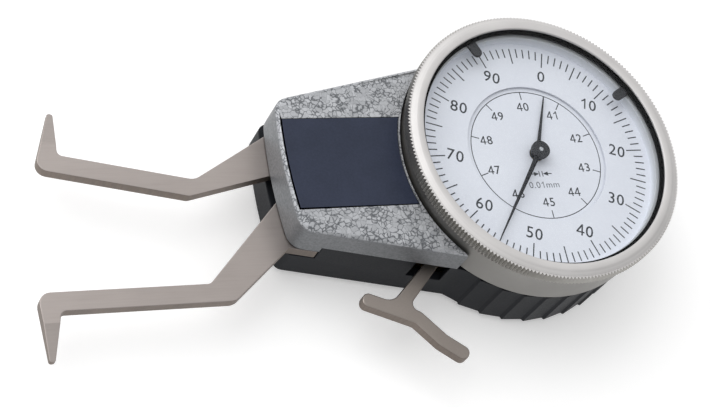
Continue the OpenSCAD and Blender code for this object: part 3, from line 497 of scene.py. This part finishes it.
# Blackened steel of the hands: near black with a soft sheen
HAND_BLACK = PlainCoat(
    "hand_steel_blackened", "hand_black",
    base="#2e2f33", deep="#28292d", rough=0.45, grain=0.5, relief=0.003, sheen=0.3)
# Moulded acetal of the limit markers: dark grey, a faint sheen
MARKER = PlainCoat(
    "acetal_dark_grey", "marker_dark",
    base="#343437", deep="#2c2c2f", rough=0.45, grain=0.4, relief=0.008, sheen=0.3)
# Moulded polystyrene of the ring under the crystal: matt black
RING_BLACK = PlainCoat(
    "polystyrene_black_matt", "ring_black",
    base="#141517", deep="#101113", rough=0.5, grain=0.4, relief=0.006, sheen=0.2)
# Polished acrylic of the crystal: clear, colourless, no strong reflections
CRYSTAL = ClearAcrylic("acrylic_clear_polished", "crystal_clear")


# ---------------------------------------------------------------- mesh helpers


def stand(name: str, data: bpy.types.Mesh | bpy.types.Curve) -> bpy.types.Object:
    """Put a mesh or a curve into the scene at the origin.

    Args:
        name: Name of the piece.
        data: Its mesh or curve, already in place.

    Returns:
        The new object.
    """
    piece = bpy.data.objects.new(name, data)
    bpy.context.scene.collection.objects.link(piece)
    return piece


def poured(name: str, bm: bmesh.types.BMesh) -> bpy.types.Mesh:
    """Turn an edit mesh into a plain mesh and free it.

    Args:
        name: Name of the mesh.
        bm: Edit mesh.

    Returns:
        The mesh.
    """
    mesh = bpy.data.meshes.new(name)
    bm.to_mesh(mesh)
    bm.free()
    return mesh


def settle(piece: bpy.types.Object) -> None:
    """Turn an object's modifiers into plain mesh.

    Args:
        piece: Object with modifiers.
    """
    graph = bpy.context.evaluated_depsgraph_get()
    mesh = bpy.data.meshes.new_from_object(piece.evaluated_get(graph), depsgraph=graph)
    piece.modifiers.clear()
    piece.data = mesh
    mesh.name = piece.name


def softened(node: str, name: str, width: float, edge: Callable[[Vector], bool],
             segments: int = 3) -> bpy.types.Object:
    """Copy a CAD node with its outer edges rounded.

    Args:
        node: CAD node to copy.
        name: Name of the new piece.
        width: Size of the round in millimetres.
        edge: True for the middle, in millimetres, of an edge to round.
        segments: Steps of the round.

    Returns:
        The new object, without material.
    """
    bm = bmesh.new()
    bm.from_mesh(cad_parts[node].data)
    bmesh.ops.remove_doubles(bm, verts=bm.verts, dist=WELD * MM)
    bmesh.ops.dissolve_limit(bm, angle_limit=FLAT_ANGLE, verts=bm.verts, edges=bm.edges)
    weight = bm.edges.layers.float.new("bevel_weight_edge")
    for e in bm.edges:
        if e.is_manifold and e.is_convex and e.calc_face_angle(0.0) > SHARP_ANGLE:
            e[weight] = 1.0 if edge((e.verts[0].co + e.verts[1].co) / (2 * MM)) else 0.0
    for f in bm.faces:
        f.smooth = True
    mesh = poured(name, bm)
    mesh.set_sharp_from_angle(angle=SHARP_ANGLE)
    piece = stand(name, mesh)
    bevel = piece.modifiers.new("round", "BEVEL")
    bevel.width, bevel.segments = width * MM, segments
    bevel.limit_method, bevel.use_clamp_overlap, bevel.harden_normals = "WEIGHT", True, True
    settle(piece)
    return piece


def dress(piece: bpy.types.Object, finish: Finish) -> bpy.types.Object:
    """Give a piece one finish all over.

    Args:
        piece: New piece.
        finish: Its finish.

    Returns:
        The same piece.
    """
    piece.data.materials.clear()
    piece.data.materials.append(finish.material())
    return piece


def recoat(nodes: Iterable[str], finish: Finish) -> None:
    """Give CAD nodes that stay as they are a finish.

    Args:
        nodes: Names of the nodes.
        finish: Their finish.
    """
    for node in nodes:
        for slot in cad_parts[node].material_slots:
            slot.material = finish.material()
        LOG.info("%s keeps its CAD shape, finish %s", node, finish.name)


def merged(name: str, parts: Iterable[bpy.types.Mesh]) -> bpy.types.Object:
    """Join meshes, in place, into one object with their materials.

    Args:
        name: Name of the piece.
        parts: Meshes to join; each has one material at most.

    Returns:
        The joined object.
    """
    mesh = bpy.data.meshes.new(name)
    bm = bmesh.new()
    for part in parts:
        start = len(bm.faces)
        bm.from_mesh(part)
        bm.faces.ensure_lookup_table()
        if part.materials:
            if part.materials[0].name not in mesh.materials:
                mesh.materials.append(part.materials[0])
            index = mesh.materials.find(part.materials[0].name)
            for f in bm.faces[start:]:
                f.material_index = index
    bm.to_mesh(mesh)
    bm.free()
    return stand(name, mesh)


@dataclass(frozen=True)
class PolarArray:
    """Copies of one element round the dial axis, by Geometry Nodes."""

    count: int
    step: float
    start: float = 0.0

    def tree(self) -> bpy.types.NodeTree:
        """Node tree with named inputs, made once.

        Returns:
            The tree.
        """
        found = bpy.data.node_groups.get("polar_array")
        if found is not None:
            return found
        tree = bpy.data.node_groups.new("polar_array", "GeometryNodeTree")
        for name, kind in (("Element", "NodeSocketGeometry"), ("Count", "NodeSocketInt"),
                           ("Start", "NodeSocketFloat"), ("Step", "NodeSocketFloat"),
                           ("Finish", "NodeSocketMaterial")):
            tree.interface.new_socket(name, in_out="INPUT", socket_type=kind)
        tree.interface.new_socket("Ring", in_out="OUTPUT", socket_type="NodeSocketGeometry")
        given = add(tree, "NodeGroupInput").outputs
        points = add(tree, "GeometryNodePoints", {}, {"Count": given["Count"]})
        index = add(tree, "GeometryNodeInputIndex")
        turn = add(tree, "ShaderNodeMath", {"operation": "MULTIPLY_ADD"}, {
            0: index.outputs[0], 1: given["Step"], 2: given["Start"]})
        axis = add(tree, "ShaderNodeCombineXYZ", {}, {"Z": turn.outputs[0]})
        angle = add(tree, "FunctionNodeEulerToRotation", {}, {0: axis.outputs[0]})
        copies = add(tree, "GeometryNodeInstanceOnPoints", {}, {
            "Points": points.outputs[0], "Instance": given["Element"],
            "Rotation": angle.outputs[0]})
        real = add(tree, "GeometryNodeRealizeInstances", {}, {"Geometry": copies.outputs[0]})
        coat = add(tree, "GeometryNodeSetMaterial", {}, {
            "Geometry": real.outputs[0], "Material": given["Finish"]})
        add(tree, "NodeGroupOutput", {}, {"Ring": coat.outputs[0]})
        return tree

    def spread(self, name: str, element: bpy.types.Mesh, finish: Finish) -> bpy.types.Object:
        """Copy the element round the axis.

        Args:
            name: Name of the piece.
            element: Mesh of the element, in place at angle 0.
            finish: Finish of the copies.

        Returns:
            The piece as plain mesh.
        """
        piece = stand(name, element)
        ring = piece.modifiers.new("ring", "NODES")
        ring.node_group = self.tree()
        values = {"Count": self.count, "Start": math.radians(self.start),
                  "Step": math.radians(self.step), "Finish": finish.material()}
        for item in ring.node_group.interface.items_tree:
            if item.in_out == "INPUT" and item.name in values:
                ring[item.identifier] = values[item.name]
        settle(piece)
        coated(piece.data, finish)
        return piece


def prism(outlines: Iterable[list[tuple[float, float]]], low: float, high: float) -> bpy.types.Mesh:
    """Raise flat outlines to closed solids.

    Args:
        outlines: Corners in millimetres, anticlockwise.
        low: Lower level in millimetres.
        high: Upper level in millimetres.

    Returns:
        The mesh.
    """
    bm = bmesh.new()
    for outline in outlines:
        bottom = [bm.verts.new((x * MM, y * MM, low * MM)) for x, y in outline]
        top = [bm.verts.new((x * MM, y * MM, high * MM)) for x, y in outline]
        bm.faces.new(bottom[::-1])
        bm.faces.new(top)
        for i in range(len(outline)):
            j = (i + 1) % len(outline)
            bm.faces.new((bottom[i], bottom[j], top[j], top[i]))
    return poured("prism", bm)


def lathe(profile: list[tuple[float, float]], steps: int) -> bpy.types.Mesh:
    """Turn a closed profile round the dial axis.

    Args:
        profile: Corners as (radius, height) in millimetres.
        steps: Steps round the axis.

    Returns:
        The closed mesh.
    """
    bm = bmesh.new()
    rings = []
    for k in range(steps):
        a = 2 * math.pi * k / steps
        rings.append([bm.verts.new((r * math.cos(a) * MM, r * math.sin(a) * MM, z * MM))
                      for r, z in profile])
    for k in range(steps):
        one, two = rings[k], rings[(k + 1) % steps]
        for i in range(len(profile)):
            j = (i + 1) % len(profile)
            bm.faces.new((one[i], two[i], two[j], one[j])).smooth = True
    bmesh.ops.recalc_face_normals(bm, faces=bm.faces)
    mesh = poured("lathe", bm)
    mesh.set_sharp_from_angle(angle=TURNED_ANGLE)
    return mesh


# Set width of a figure, as a share of its height
SET_WIDTH = {".": 0.39, "m": 1.17}
DIGIT_WIDTH = 0.777
# Strokes of the figures one, without a foot, and four, with an open eye, in figure heights
STROKES = {
    "1": [[(0.15, 0.0), (0.15, 1.0), (0.06, 1.0), (-0.05, 0.87), (-0.22, 0.76), (-0.22, 0.64),
           (-0.08, 0.7), (0.03, 0.79), (0.03, 0.0)]],
    "4": [[(0.08, 0.0), (0.205, 0.0), (0.205, 1.0), (0.08, 1.0)],
          [(-0.35, 0.235), (0.35, 0.235), (0.35, 0.35), (-0.35, 0.35)],
          [(-0.35, 0.345), (-0.2, 0.345), (0.085, 0.76), (0.085, 1.0)]]}


@dataclass(frozen=True)
class Lettering:
    """Plain figures of one height and stroke, printed flat."""

    height: float
    weight: float = 0.004

    def glyph(self, sign: str) -> bpy.types.Mesh:
        """Draw one sign, a figure height of 1 tall, on its base line and one unit thick.

        Args:
            sign: Figure, point or letter.

        Returns:
            The mesh, its middle at x = 0.
        """
        if sign in STROKES:
            mesh = prism(STROKES[sign], -0.5, 0.5)
            mesh.transform(Matrix.Scale(1 / MM, 4))
            return mesh
        curve = bpy.data.curves.new("figure", "FONT")
        curve.size, curve.resolution_u, curve.extrude, curve.offset = 1.0, 3, 0.5, self.weight
        holder = stand("figure", curve)
        drawn = {}
        for body in ("8", sign):
            curve.body = body
            graph = bpy.context.evaluated_depsgraph_get()
            drawn[body] = bpy.data.meshes.new_from_object(holder.evaluated_get(graph))
        bpy.data.objects.remove(holder)
        scale = [v.co.y for v in drawn["8"].vertices]
        mesh = drawn[sign]
        across = [v.co.x for v in mesh.vertices]
        mesh.transform(Matrix.Translation((-(min(across) + max(across)) / 2, -min(scale), 0)))
        size = 1 / (max(scale) - min(scale))
        mesh.transform(Matrix.Diagonal((size, size, 1, 1)))
        return mesh

    def print(self, words: str, at: tuple[float, float], low: float, high: float) -> bpy.types.Mesh:
        """Print words round a point.

        Args:
            words: What to print.
            at: Middle of the words in millimetres.
            low: Lower level in millimetres.
            high: Upper level in millimetres.

        Returns:
            The mesh in its place.
        """
        widths = [self.height * SET_WIDTH.get(sign, DIGIT_WIDTH) for sign in words]
        pen = at[0] - sum(widths) / 2
        bm = bmesh.new()
        for sign, width in zip(words, widths):
            known = set(bm.verts)
            bm.from_mesh(self.glyph(sign))
            for v in set(bm.verts) - known:
                x, y = v.co.x * self.height, (v.co.y - 0.5) * self.height
                v.co = Vector((pen + width / 2 + x, at[1] + y, high if v.co.z > 0 else low)) * MM
            pen += width
        bmesh.ops.remove_doubles(bm, verts=bm.verts, dist=FIGURE_WELD * MM)
        bmesh.ops.recalc_face_normals(bm, faces=bm.faces)
        return poured("figures", bm)


def coated(mesh: bpy.types.Mesh, finish: Finish) -> bpy.types.Mesh:
    """Give a loose mesh a finish before it is joined to others.

    Args:
        mesh: Loose mesh.
        finish: Its finish.

    Returns:
        The same mesh.
    """
    mesh.materials.clear()
    mesh.materials.append(finish.material())
    mesh.polygons.foreach_set("material_index", [0] * len(mesh.polygons))
    return mesh


def taken(piece: bpy.types.Object) -> bpy.types.Mesh:
    """Take the mesh of a helper object and drop the object.

    Args:
        piece: Helper object.

    Returns:
        Its mesh.
    """
    mesh = piece.data
    bpy.data.objects.remove(piece)
    return mesh


# ---------------------------------------------------------------- the gauge


@dataclass
class CaseAndCover:
    """Black back shell, silver-grey front shell and its bare plate; sizes in millimetres."""

    case_round: float = 0.35
    cover_round: float = 0.36
    plate_round: float = 0.12
    seam: float = 13.2
    below_seam: float = 0.2
    above_seam: float = 1.0
    bezel_r: float = 29.9
    plate_rim: float = 19.4
    front_x: float = -53.5
    foot: float = 0.3
    top: float = 18.0
    outer_r: float = 27.5
    neck_x: float = -5.0
    neck_half: float = 14.0

    def build(self) -> list[bpy.types.Object]:
        """Build the shells and the plate.

        Returns:
            The pieces.
        """
        case = softened("back_case", "back_case_moulding", self.case_round, self.case_edge)
        dress(case, BLACK_ABS)
        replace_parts(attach(case, "body"), "back_case")
        cover = softened("front_cover", "front_cover_shell", self.cover_round, self.cover_edge)
        dress(cover, HAMMERTONE)
        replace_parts(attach(cover, "body"), "front_cover")
        plate = softened("name_plate", "name_plate_blank", self.plate_round,
                         lambda p: p.z > self.plate_rim, segments=2)
        dress(plate, NAVY)
        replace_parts(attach(plate, "body"), "name_plate")
        recoat(["case_screws"], STEEL)
        return [case, cover, plate]

    def outside(self, p: Vector) -> bool:
        """Tell the outside of the shells from their inside.

        Args:
            p: Point in millimetres.

        Returns:
            True on the outside.
        """
        end = p.x < self.front_x or math.hypot(p.x, p.y) > self.outer_r
        flank = p.x < self.neck_x and abs(p.y) > self.neck_half
        return end or flank or p.z < self.foot or p.z > self.top

    def case_edge(self, p: Vector) -> bool:
        """True for the middle, in millimetres, of an edge of the case that is rounded."""
        return p.z < self.seam - self.below_seam and self.outside(p)

    def cover_edge(self, p: Vector) -> bool:
        """True for the middle, in millimetres, of an edge of the cover that is rounded."""
        high = p.z > self.seam + self.above_seam
        return high and math.hypot(p.x, p.y) > self.bezel_r and self.outside(p)


@dataclass
class Blades:
    """The two arms and the finger lever, blanked from plate; sizes in millimetres."""

    edge_round: float = 0.28
    flat_share: float = 0.35

    def build(self) -> list[bpy.types.Object]:
        """Build the blades.

        Returns:
            The pieces.
        """
        made = []
        for node, name, body, finish in (
                ("fixed_arm", "fixed_arm_blade", "body", NICKEL),
                ("moving_arm", "moving_arm_blade", "swing_arm", NICKEL),
                ("lift_lever", "lift_lever_blade", "swing_arm", NICKEL_LEVER_SHADED)):
            piece = softened(node, name, self.edge_round, lambda p: True)
            dress(piece, finish)
            # Faces that look sideways take the darker edge finish: painted shade
            piece.data.materials.append(NICKEL_EDGE_SHADED.material())
            for face in piece.data.polygons:
                face.material_index = 0 if abs(face.normal.z) > self.flat_share else 1
            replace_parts(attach(piece, body), node)
            made.append(piece)
        recoat(["arm_spacers", "arm_screws", "pivot_pin", "hub_rivets", "lever_rivets"], STEEL)
        recoat(["pivot_clip"], SPRING)
        return made


@dataclass
class Bezel:
    """Turning ring with its knurl, crystal, dark ring and limit markers; sizes in millimetres."""

    teeth: int = 240
    tooth_root: float = 29.25
    tooth_tip: float = 29.799
    tooth_low: float = 22.3
    tooth_high: float = 25.06
    tooth_sunk: float = 0.2
    low_slant: float = 0.4
    high_slant: float = -0.06
    upright: float = 0.2
    bottom: float = 13.8
    top: float = 25.6
    band_r: float = 28.8
    bore_r: float = 27.05
    lip_r: float = 26.6
    marker_round: float = 0.15
    steps: int = 240
    wire_r: float = 27.0
    wire_z: float = 16.0
    wire_groove: float = 0.75
    groove_half: float = 85.0
    groove_steps: int = 8
    knurl_margin: float = 0.1

    def profile(self) -> list[tuple[float, float]]:
        """Cross-section of the ring: band, cove, knurl land, sloping rim, flat crown and lip.

        Returns:
            Corners as (radius, height).
        """
        groove = []
        for k in range(self.groove_steps + 1):
            a = math.radians(self.groove_half - 2 * self.groove_half * k / self.groove_steps)
            groove.append((self.wire_r + self.wire_groove * math.cos(a),
                           self.wire_z + self.wire_groove * math.sin(a)))
        bore, lip, root = self.bore_r, self.lip_r, self.tooth_root
        band = [(bore, self.bottom), (28.45, self.bottom), (28.7, 13.9), (self.band_r, 14.15)]
        cove = [(self.band_r, 21.2), (28.9, 21.6), (29.1, 22.0), (root, self.tooth_low)]
        rim = [(root, 24.98), (29.15, 25.14), (28.15, 25.55), (27.95, self.top)]
        crown = [(26.95, self.top), (26.72, 25.54), (lip, 25.4), (lip, 25.1), (bore, 25.1)]
        seat = [(bore, 20.5), (27.65, 20.5), (27.65, 19.95), (bore, 19.95)]
        return band + cove + rim + crown + seat + groove

    def build(self) -> list[bpy.types.Object]:
        """Build the ring, its knurl and the markers.

        Returns:
            The pieces.
        """
        ring = dress(stand("bezel_ring", lathe(self.profile(), self.steps)), CHROME)
        knurl = PolarArray(self.teeth, 360 / self.teeth).spread("bezel_knurl", self.tooth(), CHROME)
        # The knurl's flanks and the band take darker chrome: painted shade
        for piece in (ring, knurl):
            for finish in (CHROME_KNURL_SHADED, CHROME_BAND_SHADED):
                piece.data.materials.append(finish.material())
            for face in piece.data.polygons:
                face.material_index = self.finish_at(face)
        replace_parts(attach(ring, "bezel_unit"), "bezel")
        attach(knurl, "bezel_unit")
        made = [ring, knurl]
        for node, name, body in (("limit_marker_a", "limit_tab_left", "marker_left"),
                                 ("limit_marker_b", "limit_tab_right", "marker_right")):
            tab = dress(softened(node, name, self.marker_round, lambda p: True), MARKER)
            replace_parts(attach(tab, body), node)
            made.append(tab)
        recoat(["crystal"], CRYSTAL)
        recoat(["shade_ring"], RING_BLACK)
        recoat(["bezel_wire", "bezel_retainer"], SPRING)
        return made

    def finish_at(self, face: bpy.types.MeshPolygon) -> int:
        """Choose the finish of a face of the ring or its knurl.

        Args:
            face: Face of the mesh.

        Returns:
            Place of the finish: 0 for the turned rim, 1 for the knurl, 2 for the band; 1 and 2 are
                darker copies of the rim's chrome, painted shade.
        """
        if face.center.z < self.tooth_low * MM:
            return 2
        on_knurl = face.center.xy.length > (self.tooth_root - self.knurl_margin) * MM
        return 1 if on_knurl and face.normal.z < self.upright else 0

    def tooth(self) -> bpy.types.Mesh:
        """One knurl tooth at angle 0, its foot sunk into the ring.

        Returns:
            The mesh.
        """
        half = math.pi * self.tooth_tip / self.teeth
        foot = self.tooth_root - self.tooth_sunk
        wide = half * (self.tooth_tip - foot) / (self.tooth_tip - self.tooth_root)
        bm = bmesh.new()
        ends = []
        for level, slant in ((self.tooth_low, self.low_slant), (self.tooth_high, self.high_slant)):
            ends.append([bm.verts.new(Vector(c) * MM) for c in (
                (foot, -wide, level), (foot, wide, level), (self.tooth_tip, 0.0, level + slant))])
        low, high = ends
        bm.faces.new(low)
        bm.faces.new(high)
        for i in range(3):
            j = (i + 1) % 3
            bm.faces.new((low[i], low[j], high[j], high[i]))
        bmesh.ops.recalc_face_normals(bm, faces=bm.faces)
        return poured("tooth", bm)


@dataclass
class Dial:
    """Dial sheets, their print and the hands; sizes in millimetres."""

    divisions: int = 100
    row: int = 5
    figures: int = 10
    first_mm: int = 40
    ring_turn: float = -17.83
    ring_face: float = 20.8
    disc_face: float = 20.2
    ink: float = 0.015
    tick_out: float = 24.45
    tick_in: float = 22.35
    long_tick_in: float = 20.9
    tick_w: float = 0.25
    figures_r: float = 18.65
    line_r: float = 14.42
    line_w: float = 0.18
    line_steps: int = 180
    disc_tick_in: float = 12.65
    disc_figures_r: float = 10.9
    disc_tick_w: float = 0.2
    figure_h: float = 2.55
    disc_figure_h: float = 1.9
    disc_figure_shift: tuple[float, float] = (-0.15, 0.1)
    marking_h: float = 1.4
    marking_at: tuple[float, float] = (-0.1, -6.9)
    sign_y: float = -4.43
    sunk: float = 0.005
    hand_round: float = 0.06

    def build(self) -> list[bpy.types.Object]:
        """Print both dials and dress sheets and hands.

        Returns:
            The pieces.
        """
        recoat(["outer_dial", "inner_dial"], DIAL_WHITE)
        # The track ring's greyer top is painted shade
        recoat(["track_ring"], TRACK_PAINTED_SHADE)
        made = []
        for node, name, body in (("long_pointer", "long_hand_blade", "long_hand"),
                                 ("short_pointer", "short_hand_blade", "short_hand")):
            hand = softened(node, name, self.hand_round, lambda p: True, segments=2)
            dress(hand, HAND_BLACK)
            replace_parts(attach(hand, body), node)
            made.append(hand)
        for print_piece, body in ((self.outer_print(), "bezel_unit"), (self.inner_print(), "body")):
            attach(print_piece, body)
            made.append(print_piece)
        return made

    def bar(self, angle: float, start: float, end: float,
            width: float) -> list[tuple[float, float]]:
        """Outline of a radial bar.

        Args:
            angle: Direction in degrees, anticlockwise from +Y.
            start: Inner radius.
            end: Outer radius.
            width: Width of the bar.

        Returns:
            Four corners, anticlockwise.
        """
        turn = Matrix.Rotation(math.radians(angle), 2)
        corners = ((width / 2, start), (width / 2, end), (-width / 2, end), (-width / 2, start))
        return [tuple(turn @ Vector(c)) for c in corners]

    def outer_print(self) -> bpy.types.Object:
        """Hundred divisions and their figures on the turning ring.

        Returns:
            The print.
        """
        low, high = self.ring_face - self.sunk, self.ring_face + self.ink
        step = 360 / self.divisions
        short = [self.bar(-step * k, self.tick_in, self.tick_out, self.tick_w)
                 for k in range(1, self.row)]
        long = [self.bar(0, self.long_tick_in, self.tick_out, self.tick_w)]
        rows = PolarArray(self.divisions // self.row, -step * self.row, self.ring_turn)
        parts = [taken(rows.spread("short_ticks", prism(short, low, high), INK)),
                 taken(rows.spread("long_ticks", prism(long, low, high), INK))]
        letters = Lettering(self.figure_h)
        turn = Matrix.Rotation(math.radians(self.ring_turn), 4, "Z")
        for k in range(self.figures):
            a = math.radians(360 / self.figures * k)
            at = (self.figures_r * math.sin(a), self.figures_r * math.cos(a))
            words = str(self.divisions // self.figures * k)
            mesh = coated(letters.print(words, at, low, high), INK)
            mesh.transform(turn)
            parts.append(mesh)
        return merged("outer_dial_print", parts)

    def inner_print(self) -> bpy.types.Object:
        """Ring line, millimetre ticks and figures, and the small marking of the fixed dial.

        Returns:
            The print.
        """
        low, high = self.disc_face - self.sunk, self.disc_face + self.ink
        inside, outside = self.line_r - self.line_w / 2, self.line_r + self.line_w / 2
        section = [(inside, low), (outside, low), (outside, high), (inside, high)]
        tick = prism([self.bar(0, self.disc_tick_in, self.line_r, self.disc_tick_w)], low, high)
        rows = PolarArray(self.figures, -360 / self.figures)
        parts = [coated(lathe(section, self.line_steps), INK),
                 taken(rows.spread("disc_ticks", tick, INK))]
        letters = Lettering(self.disc_figure_h)
        for k in range(self.figures):
            a = math.radians(360 / self.figures * k)
            at = (self.disc_figures_r * math.sin(a) + self.disc_figure_shift[0],
                  self.disc_figures_r * math.cos(a) + self.disc_figure_shift[1])
            parts.append(coated(letters.print(str(self.first_mm + k), at, low, high), INK))
        small = Lettering(self.marking_h, weight=0.0)
        marking = small.print("0.01mm", self.marking_at, low, high)
        parts += [coated(marking, THIN_INK), coated(prism(self.division_sign(), low, high), INK)]
        return merged("inner_dial_print", parts)

    def division_sign(self) -> list[list[tuple[float, float]]]:
        """Sign of one division: two short bars with an arrow at each side.

        Returns:
            Its outlines, anticlockwise.
        """
        y, bar, arrow, shaft = self.sign_y, 0.62, 0.48, 0.1
        blocks = ((-0.66, -0.48, bar), (0.06, 0.24, bar), (-2.55, -1.8, shaft), (1.4, 2.25, shaft))
        outlines = [[(a, y - h), (b, y - h), (b, y + h), (a, y + h)] for a, b, h in blocks]
        heads = [[(-1.8, y - arrow), (-0.66, y), (-1.8, y + arrow)],
                 [(0.24, y), (1.4, y - arrow), (1.4, y + arrow)]]
        return outlines[:2] + heads + outlines[2:]


@dataclass
class Movement:
    """Wheels, plates, pins and springs inside, which show in no view but move with the arms."""

    def build(self) -> list[bpy.types.Object]:
        """Dress the inner nodes.

        Returns:
            No new pieces.
        """
        recoat(["chassis_plate", "bridge_plate", "bridge_pillars", "dial_posts", "gear_sector",
                "hub_bush", "transfer_wheel", "mm_driver", "mm_wheel"], BRASS)
        recoat(["bridge_screws", "stop_pin", "spring_post", "spring_pin", "first_arbor",
                "centre_arbor"], STEEL)
        recoat(["return_spring", "hair_spring"], SPRING)
        return []


@dataclass
class Studio:
    """Pale floor, soft light and the camera of the photograph; sizes in metres."""

    floor_half: float = 2.5
    focal_px: float = 1777.0005
    image_w: int = 711
    sensor: float = 36.0
    eye: tuple[float, float, float] = (-0.17741581, -0.14438015, 0.30114461)
    right: tuple[float, float, float] = (0.91659602, -0.20492313, 0.34330488)
    up: tuple[float, float, float] = (0.03323035, 0.89473609, 0.44535723)
    ahead: tuple[float, float, float] = (0.39843127, 0.39680453, -0.82692121)
    bright_way: tuple[float, float, float] = (-0.35, 0.75, 0.55)
    dim_level: float = 0.5
    bright_level: float = 1.0
    lamp_size: float = 0.9
    lamp_power: float = 3.7
    lamp_at: tuple[float, float, float] = (-0.48, 0.42, 0.72)
    lamp_aim: tuple[float, float, float] = (-0.03, 0.0, 0.01)
    floor_z: float = -0.0001
    floor_tone: float = 0.85
    floor_lift: float = 0.31

    def build(self) -> list[bpy.types.Object]:
        """Build floor, light and camera.

        Returns:
            The floor.
        """
        bpy.context.scene.view_settings.view_transform = "Standard"
        self.camera()
        self.sky()
        self.softbox()
        return [self.floor()]

    def camera(self) -> None:
        """Set the camera up where the photograph was taken from."""
        data = bpy.data.cameras.new("camera")
        data.sensor_fit, data.sensor_width = "HORIZONTAL", self.sensor
        data.lens = self.sensor * self.focal_px / self.image_w
        data.clip_start, data.clip_end = 0.01, 20.0
        camera = bpy.data.objects.new("camera", data)
        bpy.context.scene.collection.objects.link(camera)
        back = -Vector(self.ahead)
        camera.matrix_world = Matrix((
            (self.right[0], self.up[0], back.x, self.eye[0]),
            (self.right[1], self.up[1], back.y, self.eye[1]),
            (self.right[2], self.up[2], back.z, self.eye[2]), (0, 0, 0, 1)))
        bpy.context.scene.camera = camera

    def sky(self) -> None:
        """Light from all round, brighter from the back left where the studio's window is."""
        world = bpy.data.worlds.new("studio")
        world.use_nodes = True
        tree = world.node_tree
        tree.nodes.clear()
        way = add(tree, "ShaderNodeTexCoord").outputs["Generated"]
        lean = add(tree, "ShaderNodeVectorMath", {"operation": "DOT_PRODUCT"}, {
            0: way, 1: self.bright_way})
        level = add(tree, "ShaderNodeMapRange", {"interpolation_type": "SMOOTHSTEP"}, {
            "Value": lean.outputs["Value"], "From Min": -0.3, "From Max": 0.95,
            "To Min": self.dim_level, "To Max": self.bright_level})
        glow = add(tree, "ShaderNodeBackground", {}, {
            "Color": linear("#ffffff"), "Strength": level.outputs[0]})
        add(tree, "ShaderNodeOutputWorld", {}, {"Surface": glow.outputs[0]})
        bpy.context.scene.world = world

    def softbox(self) -> None:
        """One large soft lamp from the back left."""
        data = bpy.data.lights.new("softbox", "AREA")
        data.shape, data.size, data.energy = "SQUARE", self.lamp_size, self.lamp_power
        lamp = bpy.data.objects.new("softbox", data)
        bpy.context.scene.collection.objects.link(lamp)
        spot = Vector(self.lamp_at)
        aim = (Vector(self.lamp_aim) - spot).to_track_quat("-Z", "Y")
        lamp.matrix_world = Matrix.Translation(spot) @ aim.to_matrix().to_4x4()

    def floor(self) -> bpy.types.Object:
        """White floor that keeps the shadow.

        Returns:
            The floor.
        """
        h, z = self.floor_half, self.floor_z
        mesh = bpy.data.meshes.new("floor")
        mesh.from_pydata([(-h, -h, z), (h, -h, z), (h, h, z), (-h, h, z)], [], [(0, 1, 2, 3)])
        floor = stand("floor", mesh)
        made = bpy.data.materials.new("floor_paper_white")
        made.use_nodes = True
        tree = made.node_tree
        tree.nodes.clear()
        paper = add(tree, "ShaderNodeBsdfDiffuse", {}, {"Color": (*(self.floor_tone,) * 3, 1.0)})
        path = add(tree, "ShaderNodeLightPath").outputs
        seen = add(tree, "ShaderNodeMath", {"operation": "ADD"}, {
            0: path["Is Camera Ray"], 1: path["Is Glossy Ray"]})
        shown = add(tree, "ShaderNodeMath", {"operation": "ADD", "use_clamp": True}, {
            0: seen.outputs[0], 1: path["Is Transmission Ray"]})
        lift = add(tree, "ShaderNodeMath", {"operation": "MULTIPLY"}, {
            0: shown.outputs[0], 1: self.floor_lift})
        glow = add(tree, "ShaderNodeEmission", {}, {
            "Color": linear("#ffffff"), "Strength": lift.outputs[0]})
        both = add(tree, "ShaderNodeAddShader", {}, {0: paper.outputs[0], 1: glow.outputs[0]})
        add(tree, "ShaderNodeOutputMaterial", {}, {"Surface": both.outputs[0]})
        mesh.materials.append(made)
        return floor


def main() -> None:
    """Build the studio and the gauge, and log each new piece with its count of faces."""
    logging.basicConfig(level=logging.INFO, format="%(name)s: %(message)s")
    for part in (Studio(), CaseAndCover(), Blades(), Bezel(), Dial(), Movement()):
        for piece in part.build():
            LOG.info("%s: %s, %d faces", type(part).__name__, piece.name, len(piece.data.polygons))


if __name__ == "__main__":
    main()
